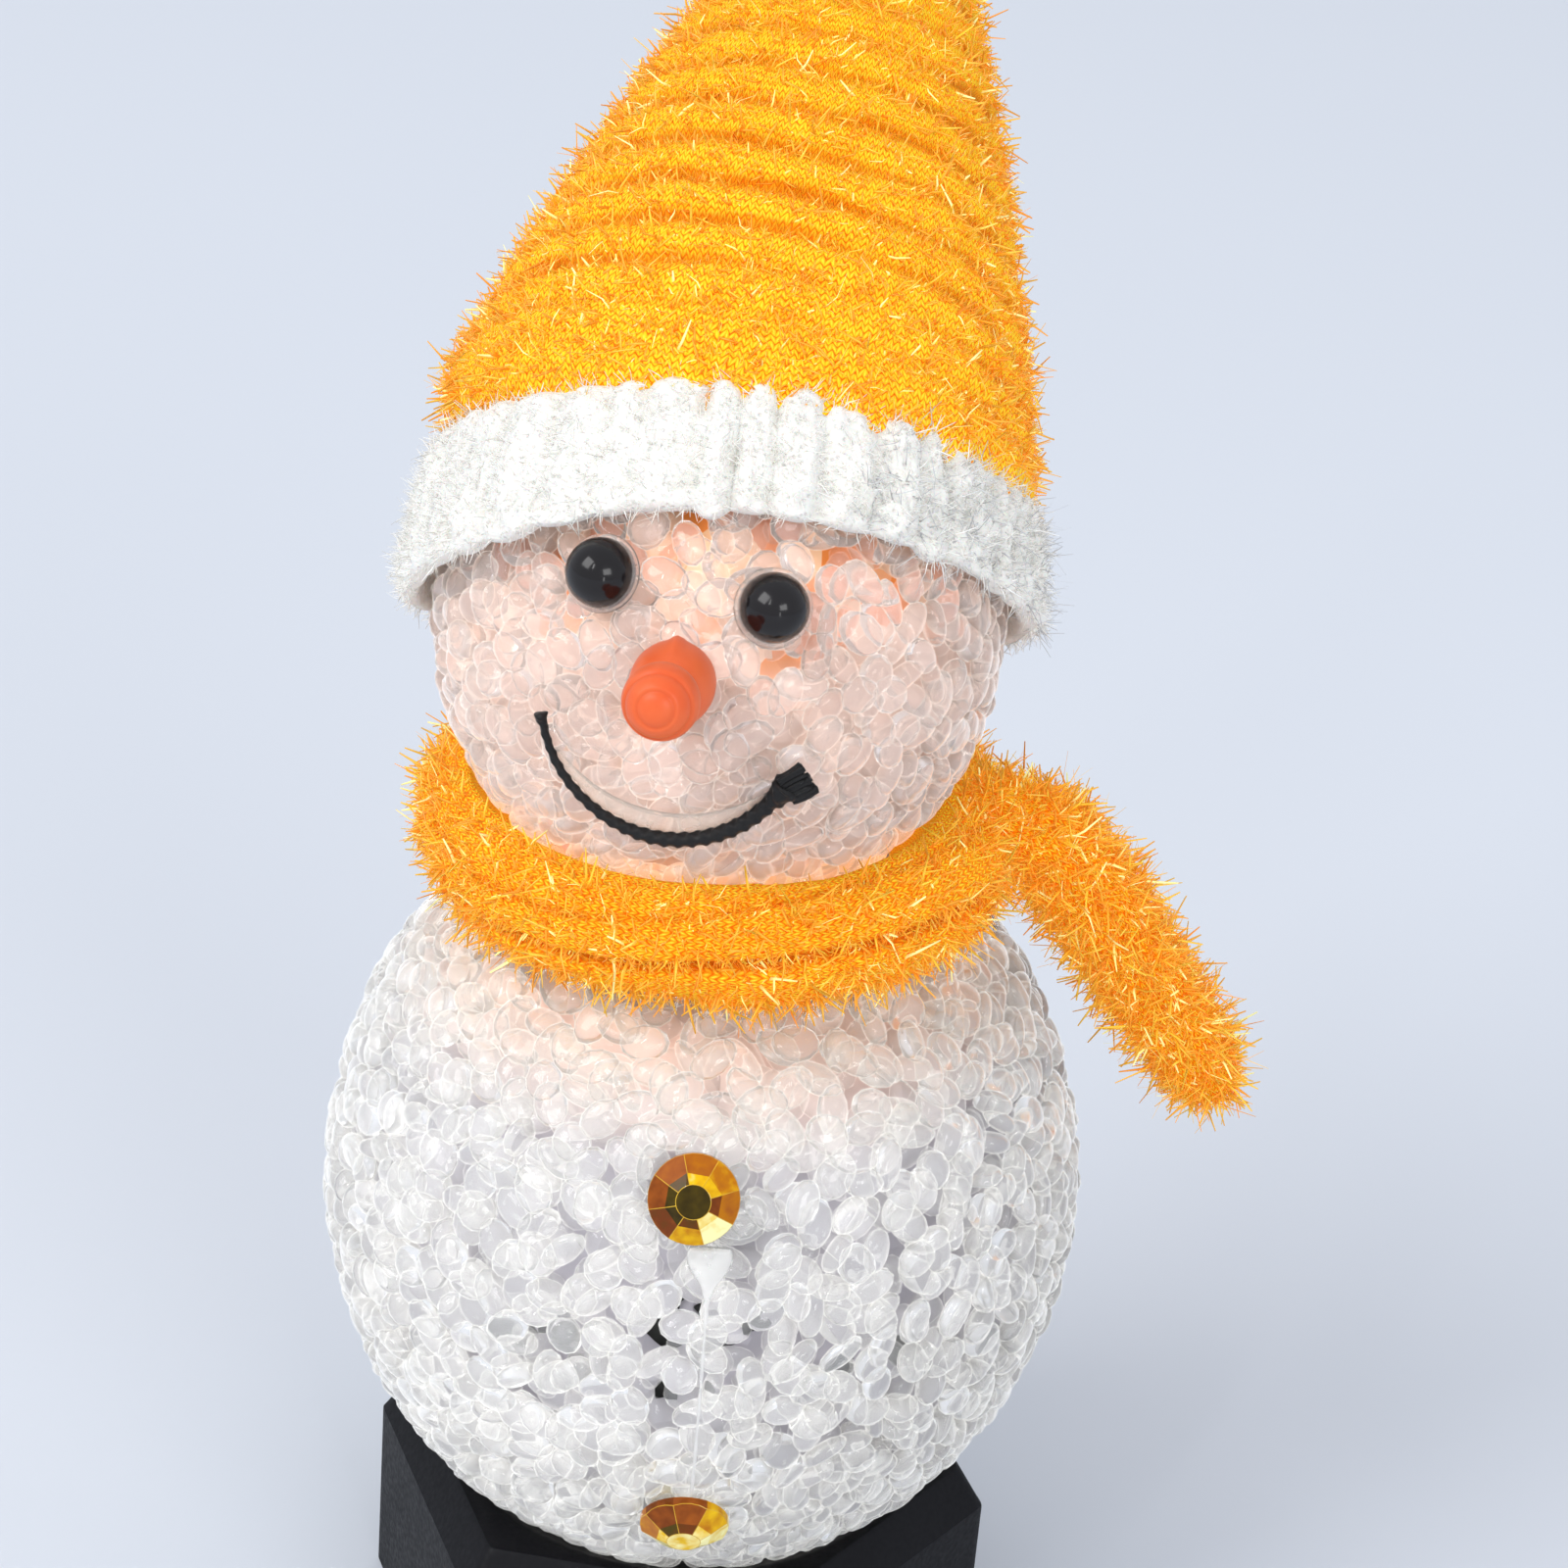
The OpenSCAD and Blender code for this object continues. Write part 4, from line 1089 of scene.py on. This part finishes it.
def tinsel_finish(name, dull, bright, glint, shine, flash_from=0.93):
    """Flat ribbon with a painted glow of its colour. Each strand has its own tone, and a few
    carry a painted glint: a pale colour and a stronger glow.
    """
    finish, tree, inputs = new_finish(name)
    tone = put(tree, "ShaderNodeAttribute", attribute_name="tone").outputs["Fac"]
    flash = in_range(tree, tone, flash_from, flash_from + 0.03)
    colour = mix_colours(tree, flash, mix_colours(tree, tone, dull, bright), glint)
    feed(tree, inputs["Base Color"], colour)
    # Painted glow: each strand emits its colour, and the glints emit more.
    feed(tree, inputs["Emission Color"], colour)
    feed(tree, inputs["Emission Strength"], in_range(tree, tone, 0.90, 0.97, shine, shine + 0.2))
    finish.cycles.emission_sampling = "NONE"
    feed(tree, inputs["Roughness"], in_range(tree, tone, 0.0, 1.0, 0.5, 0.16))
    return finish


def strands(name, finish, host, count, lengths, width, lift, seed, where=None):
    """Short curved ribbons rooted all over host. lengths and width are in mm, lift is the range
    of their angle from the cloth in degrees, and where(root, normal) says which are kept."""
    random = np.random.default_rng(seed)
    mesh = host.data
    mesh.calc_loop_triangles()
    corners = np.array([mesh.vertices[i].co for t in mesh.loop_triangles
                        for i in t.vertices]).reshape(-1, 3, 3)
    spans = np.cross(corners[:, 1] - corners[:, 0], corners[:, 2] - corners[:, 0])
    areas = np.linalg.norm(spans, axis=1)
    chosen = random.choice(len(areas), count, p=areas / areas.sum())
    mix = np.sort(random.random((count, 2)), axis=1)
    shares = np.stack([mix[:, 0], mix[:, 1] - mix[:, 0], 1 - mix[:, 1]], axis=1)
    roots = np.einsum("nk,nkd->nd", shares, corners[chosen])
    normals = spans[chosen] / areas[chosen][:, None]
    points, faces, tones = [], [], []
    for root, normal in zip(roots, normals):
        kept = where is None or where(root, normal)
        angle, rise, long_share, bend, tone, twist = random.random(6)
        if not kept:
            continue
        any_side = np.cross(normal, (0.3, 0.5, 0.8))
        any_side /= np.linalg.norm(any_side)
        heading = cos(2 * pi * angle) * any_side + sin(2 * pi * angle) * np.cross(normal, any_side)
        steep = radians(lift[0] + (lift[1] - lift[0]) * rise)
        way = cos(steep) * heading + sin(steep) * normal
        side = np.cross(way, normal)
        side /= np.linalg.norm(side)
        side = cos(twist * pi) * side + sin(twist * pi) * np.cross(way, side)
        flat = np.cross(side, way)
        long = (lengths[0] + (lengths[1] - lengths[0]) * long_share ** 1.5) * mm
        first = len(points)
        for u, w in ((0, 1), (0.5, 0.9), (1, 0.45)):
            at = root + way * long * u + flat * (bend - 0.5) * 2.4 * long * u * u
            at = at - normal * 0.2 * mm * (1 - u)
            points += [at - side * w * width * mm / 2, at + side * w * width * mm / 2,
                       at + flat * 0.2 * w * width * mm]
        for step in (0, 3):
            for k in range(3):
                m = (k + 1) % 3
                faces.append((first + step + k, first + step + m, first + step + 3 + m,
                              first + step + 3 + k))
        faces += [(first + 2, first + 1, first), (first + 6, first + 7, first + 8)]
        tones += [tone] * 9
    piece = new_piece(name, finish, points, faces)
    mark(piece, "tone", tones)
    return piece


def lumps(at, scale, seed=0.0):
    """Smooth noise from -1 to 1 with features of the size scale."""
    return noise.noise(Vector(at) / scale + Vector((seed, 2 * seed, -seed)))


def keep_off(points, centre, half_w, half_h, gap):
    """Pushes points that are inside a ball out to gap above its skin."""
    scale = np.array((half_w + gap, half_w + gap, half_h + gap))
    offset = (points - np.array(centre)) / scale
    level = np.linalg.norm(offset, axis=-1)[..., None]
    return np.where(level < 1, np.array(centre) + offset / np.maximum(level, 1e-6) * scale, points)


def scarf_ring():
    rings, creases = [], []
    around = 72
    for i in range(240):
        turn = 2 * pi * i / 240
        ring = []
        for k in range(around):
            angle = 2 * pi * k / around
            crease_at = radians(-12) + 0.35 * sin(turn + 0.6) + 0.12 * sin(3 * turn)
            gap = (angle - crease_at + pi) % (2 * pi) - pi
            crease = np.exp(-(gap / 0.13) ** 2)
            gap = (angle - crease_at - 0.95 - 0.2 * sin(2 * turn) + pi) % (2 * pi) - pi
            second = np.exp(-(gap / 0.1) ** 2)
            creases.append(0.9 * crease + 0.5 * second)
            reach = scarf_roll - 0.25 * mm - 1.5 * mm * crease - 0.5 * mm * second
            out = scarf_loop + reach * cos(angle)
            at = Vector((out * sin(turn), -out * cos(turn), reach * sin(angle))) + scarf_at
            puff = 0.55 * lumps(at, 9 * mm) + 0.3 * lumps(at, 3.5 * mm, 3.0)
            puff += 0.12 * lumps(at, 1.2 * mm, 5.0)
            out += puff * mm * cos(angle)
            ring.append((scarf_at.x + out * sin(turn), scarf_at.y - out * cos(turn),
                         scarf_at.z + (reach + puff * mm) * sin(angle)))
        rings.append(ring)
    rings = keep_off(np.array(rings), head_at, head_w, head_h, 0.3 * mm)
    rings = keep_off(rings, body_at, body_w, body_h, 0.3 * mm)
    cloth = knit_finish("scarf_knit", 55.0, 210.0, (1.0, 0.42, 0.008))
    piece = loft("scarf_loop", cloth, rings, looped=True)
    # The crease marks set painted shade in the scarf's creases.
    mark(piece, "crease", creases)
    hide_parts("scarf_ring")
    return piece


tail_root = scarf_at + Vector((scarf_loop + 4.5 * mm, 0, 0))
tail_route = [(-4, 1, 1.5), (0, 0, 3.5), (6, 0, 1), (11, 0, -4.5), (16, 0, -11.5), (21.5, 0, -19),
              (26, 0, -25.5), (28.5, 0, -31)]
tail_r = [4.0, 4.3, 5.1, 5.3, 5.2, 4.8, 4.2, 3.2]


def smooth_path(points, count):
    """count points along a Catmull-Rom curve through the given ones."""
    p = np.asarray(points, float)
    p = np.vstack([2 * p[0] - p[1], p, 2 * p[-1] - p[-2]])
    made = []
    for s in np.linspace(0, len(p) - 3 - 1e-6, count):
        i, t = int(s), s - int(s)
        a, b, c, d = p[i:i + 4]
        made.append(0.5 * (2 * b + (c - a) * t + (2 * a - 5 * b + 4 * c - d) * t ** 2
                           + (3 * b - a - 3 * c + d) * t ** 3))
    return np.array(made)


def scarf_tail():
    count = 90
    path = smooth_path([tail_root + Vector(p) * mm for p in tail_route], count)
    radii = mm * np.interp(np.linspace(0, 1, count), np.linspace(0, 1, len(tail_r)), tail_r)
    end = np.clip((np.linspace(0, 1, count) - 0.955) / 0.045, 0, 1)
    radii *= np.sqrt(1 - 0.94 * end ** 2)

    def section(share, angles):
        return 1 - 0.16 * np.exp(-(((angles - 2.2 - 1.2 * share) % (2 * pi) - pi) / 0.2) ** 2)

    rings = np.array(along_path(path, radii, 40, section))
    for ring, middle in zip(rings, path):
        for k, at in enumerate(ring):
            puff = 0.5 * lumps(at, 6 * mm, 7.0) + 0.3 * lumps(at, 2.5 * mm, 8.0)
            ring[k] = at + (at - middle) / max(np.linalg.norm(at - middle), 1e-6) * puff * mm
    cloth = knit_finish("tail_knit", 42.0, 62.0, (1.0, 0.36, 0.004))
    piece = loft("scarf_end", cloth, rings)
    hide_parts("scarf_tail")
    return piece


# Orange strands with a painted glow and painted glints.
orange_tinsel = tinsel_finish("tinsel_orange", dull=(1.0, 0.34, 0.02), bright=(1.0, 0.62, 0.05),
                              glint=(1.0, 0.92, 0.36), shine=0.22)
orange_fuzz = tinsel_finish("fuzz_orange", dull=(1.0, 0.30, 0.02), bright=(1.0, 0.60, 0.05),
                            glint=(1.0, 0.85, 0.25), shine=0.2, flash_from=0.87)
scarf_loop_piece = scarf_ring()
scarf_end_piece = scarf_tail()


def off_the_balls(at, normal):
    """Keeps strands from growing into the head or the body."""
    for centre, half_w, half_h in ((head_at, head_w, head_h), (body_at, body_w, body_h)):
        tip = (at + normal * 1.5 * mm - np.array(centre)) / (half_w, half_w, half_h)
        if np.linalg.norm(tip) < 1.03:
            return False
    return True


scarf_fringe = strands("scarf_tinsel", orange_tinsel, scarf_loop_piece, count=9500,
                       lengths=(1.0, 3.4), width=0.34, lift=(4, 75), seed=51, where=off_the_balls)
tail_fringe = strands("tail_tinsel", orange_tinsel, scarf_end_piece, count=4600,
                      lengths=(1.2, 3.8), width=0.34, lift=(10, 80), seed=52)
scarf_down = strands("scarf_fuzz", orange_fuzz, scarf_loop_piece, count=13000,
                     lengths=(0.4, 1.5), width=0.2, lift=(20, 90), seed=53, where=off_the_balls)
tail_down = strands("tail_fuzz", orange_fuzz, scarf_end_piece, count=5000,
                    lengths=(0.4, 1.7), width=0.2, lift=(20, 90), seed=54)

# ---- Hat ----
# A cone of the same knit, pushed together into soft folds that ring it, gathered at the tip
# and pulled down over the head. It leans back and to one side.
hat_tilt = radians(36)
hat_lean = radians(11)
hat_foot = head_at + Vector((-2, 1, 0)) * mm
hat_from, hat_to = 13.5, 104.5
hat_width = 33.5
hat_thick = 1.6
fold_every = 5.5
fold_depth = 1.6
cuff_line = 17.5
cuff_line_lean = 0.03


def axis_frame(lean):
    """Outward-along-the-axis, front and right directions of the tilted hat or cuff."""
    along = Vector((cos(hat_tilt) * sin(lean), sin(hat_tilt), cos(hat_tilt) * cos(lean)))
    right = Vector((cos(lean), 0, -sin(lean)))
    return np.array(along), np.array(along.cross(right)) * -1, np.array(right)


def hat_radius(s):
    """Radius in mm at s along the axis: full at the cuff and tapering to the gathered tip."""
    share = np.clip((s - 15) / 90, 0, 1)
    cone = hat_width * (1 - share ** 1.25)
    tucked = np.clip((s - hat_from) / 4, 0, 1)
    return np.maximum(cone - 2.2 * (1 - tucked), 0.3)


def hat():
    along, front, right = axis_frame(hat_lean)
    steps = np.concatenate([np.linspace(hat_from, hat_to, 190),
                            np.linspace(hat_to - hat_thick, hat_from, 40)])
    around = 220
    rings, creases = [], []
    for number, s in enumerate(steps):
        inside = number >= 190
        r = hat_radius(s) - (hat_thick if inside else 0)
        more_tilt = radians(np.interp(s, (hat_from, hat_to), (9, 2)))
        ring = []
        for k in range(around):
            a = 2 * pi * k / around
            way = right * sin(a) + front * cos(a)
            spot = Vector((sin(a) * 2, cos(a) * 2, s / 14))
            lagging = s - r * tan(more_tilt) * cos(a) + 0.9 * noise.noise(spot)
            phase = lagging / fold_every
            fold = 1 - abs(sin(pi * phase)) ** 0.8
            amount = 0.72 + 0.6 * noise.noise(Vector((sin(a) * 1.6, cos(a) * 1.6, s / 9 + 4)))
            quiet = np.clip((s - 20) / 8, 0.1, 1) * np.clip(r / 8, 0.25, 1) * (0 if inside else 1)
            rough = 0.35 * noise.noise(Vector((sin(a) * r / 3, cos(a) * r / 3, s / 3)))
            depth = max(amount, 0.1) * fold * quiet
            creases.append(depth)
            out = r - fold_depth * depth + 0.6 + rough * quiet
            ring.append(np.array(hat_foot) + (along * s + way * max(out, 0.2)) * mm)
        rings.append(ring)
    rows = np.append((steps - hat_from) / (hat_to - hat_from), 0)
    cloth = knit_finish("hat_knit", 215.0, 104.0, (1.0, 0.62, 0.015))
    piece = loft("hat_cone", cloth, rings, looped=True, rows=rows)
    # The fold depths set painted shade in the hat's creases.
    mark(piece, "crease", creases)
    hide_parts("hat")
    return piece


def on_ridges(at, normal):
    """Above the cuff, and not down in a crease."""
    cuff_along, _, _ = axis_frame(cuff_line_lean)
    along, _, _ = axis_frame(hat_lean)
    offset = at - np.array(hat_foot)
    s = offset @ along
    raised = np.linalg.norm(offset - along * s) / mm - hat_radius(s / mm)
    return (at - np.array(head_at)) @ cuff_along > cuff_line * mm and raised > -0.15


hat_piece = hat()
hat_fringe = strands("hat_tinsel", orange_tinsel, hat_piece, count=26000,
                     lengths=(0.7, 2.9), width=0.32, lift=(4, 70), seed=61, where=on_ridges)
hat_down = strands("hat_fuzz", orange_fuzz, hat_piece, count=32000,
                   lengths=(0.4, 1.5), width=0.24, lift=(15, 85), seed=62, where=on_ridges)

# ---- Cuff ----
# White chenille sewn to the hat's edge and turned up: upright plush rolls side by side, with
# fine mesh between them and a few silver strands.
cuff_lean = radians(2)
cuff_rolls = 42
cuff_r = 35.6
cuff_taper = 2.3
lining_r = 31.0


def cuff_edges(a):
    """Heights of the lower and upper edge, in mm along the axis, a being 0 in front."""
    return 2.9 + 2.3 * cos(2 * a) + 2.1 * sin(a), 16.7 + 1.6 * cos(2 * a)


def cuff():
    along, front, right = axis_frame(cuff_lean)
    around = 648
    section = 44
    rings = []
    random = np.random.default_rng(71)
    edges = np.append(0, np.cumsum(random.uniform(0.6, 1.4, cuff_rolls)))
    edges *= around / edges[-1]
    size = random.uniform(0.55, 1.1, cuff_rolls)
    shift = random.uniform(-0.5, 0.5, (cuff_rolls, 2))
    for i in range(around):
        a = 2 * pi * i / around
        way = right * sin(a) + front * cos(a)
        roll = int(np.searchsorted(edges, i, "right")) - 1
        roll_width = edges[roll + 1] - edges[roll]
        hump = max(0.0, sin(pi * (i - edges[roll]) / roll_width)) ** 0.8 * size[roll]
        low, high = cuff_edges(a)
        low -= 0.75 * hump + shift[roll, 0] * hump
        high += 0.8 * hump + shift[roll, 1] * hump
        middle, half = (low + high) / 2, (high - low) / 2
        ring = []
        for k in range(section):
            t = 2 * pi * k / section
            h = middle + half * np.sign(sin(t)) * abs(sin(t)) ** 0.55
            outer = cuff_r - cuff_taper * np.clip((h - 3) / 14, 0, 1) + 0.25
            inner = (head_w / mm + 0.5) * sqrt(max(0.05, 1 - (h / (head_h / mm + 0.5)) ** 2))
            inner = max(inner, lining_r - 0.05 * h) if h < 13 else max(inner, lining_r - 1.5)
            centre, thick = (outer + inner) / 2, (outer - inner) / 2
            reach = np.sign(cos(t)) * abs(cos(t)) ** 0.6
            r = centre + thick * reach + (hump * 1.3 - 0.85) * max(reach, 0)
            spot = np.array(head_at) + (along * h + way * r) * mm
            puff = 1.15 * lumps(spot, 3.0 * mm, 9.0) + 0.7 * lumps(spot, 1.3 * mm, 11.0)
            ring.append(spot + way * puff * max(reach, 0.15) * mm)
        rings.append(ring)
    white, tree, inputs = new_finish("chenille_white", Roughness=0.85,
                                     Sheen_Weight=0.5, Sheen_Roughness=0.5,
                                     Subsurface_Weight=0.15, Subsurface_Scale=1 * mm)
    place = object_place(tree)
    holes = put(tree, "ShaderNodeTexVoronoi")
    feed(tree, holes.inputs["Vector"], place)
    feed(tree, holes.inputs["Scale"], 1150.0)
    pin = in_range(tree, holes.outputs["Distance"], 0.0, 0.32, 1.0, 0.0)
    patch = in_range(tree, cloud(tree, place, 220.0), 0.48, 0.62)
    shade = reckon(tree, "MULTIPLY", reckon(tree, "MULTIPLY", pin, patch), 0.2)
    feed(tree, inputs["Base Color"], mix_colours(tree, shade, (0.87, 0.85, 0.79), (0.62, 0.55, 0.45)))
    fluff = cloud(tree, place, 1300.0, 3.0)
    height = reckon(tree, "SUBTRACT", fluff, reckon(tree, "MULTIPLY", pin, 0.6))
    raise_normal(tree, inputs, height, 0.7, 0.5 * mm)
    piece = loft("cuff_band", white, rings, looped=True)
    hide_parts("hat_cuff")
    return piece


def outside_of_cuff(at, normal):
    """Keeps strands to the cuff's outer face."""
    along, _, _ = axis_frame(cuff_lean)
    offset = at - np.array(head_at)
    flat = offset - along * (offset @ along)
    return normal @ (flat / np.linalg.norm(flat)) > 0.05


def silver_side(at, normal):
    """The silver strands gather at the right of the cuff."""
    return outside_of_cuff(at, normal) and at[0] - head_at.x > (14 + 8 * lumps(at, 7 * mm, 2.0)) * mm


cuff_piece = cuff()
# White pile and silver strands with a painted glow and painted glints.
white_fibre = tinsel_finish("fibre_white", dull=(0.87, 0.85, 0.79), bright=(0.92, 0.90, 0.85),
                            glint=(0.96, 0.95, 0.91), shine=0.14)
silver = tinsel_finish("tinsel_silver", dull=(0.60, 0.60, 0.60), bright=(0.82, 0.82, 0.81),
                       glint=(1.0, 1.0, 0.97), shine=0.03)
cuff_pile = strands("cuff_pile", white_fibre, cuff_piece, count=22000,
                    lengths=(0.5, 1.9), width=0.12, lift=(20, 90), seed=72, where=outside_of_cuff)
cuff_silver = strands("cuff_tinsel", silver, cuff_piece, count=9000,
                      lengths=(0.8, 3.0), width=0.13, lift=(5, 70), seed=73, where=silver_side)
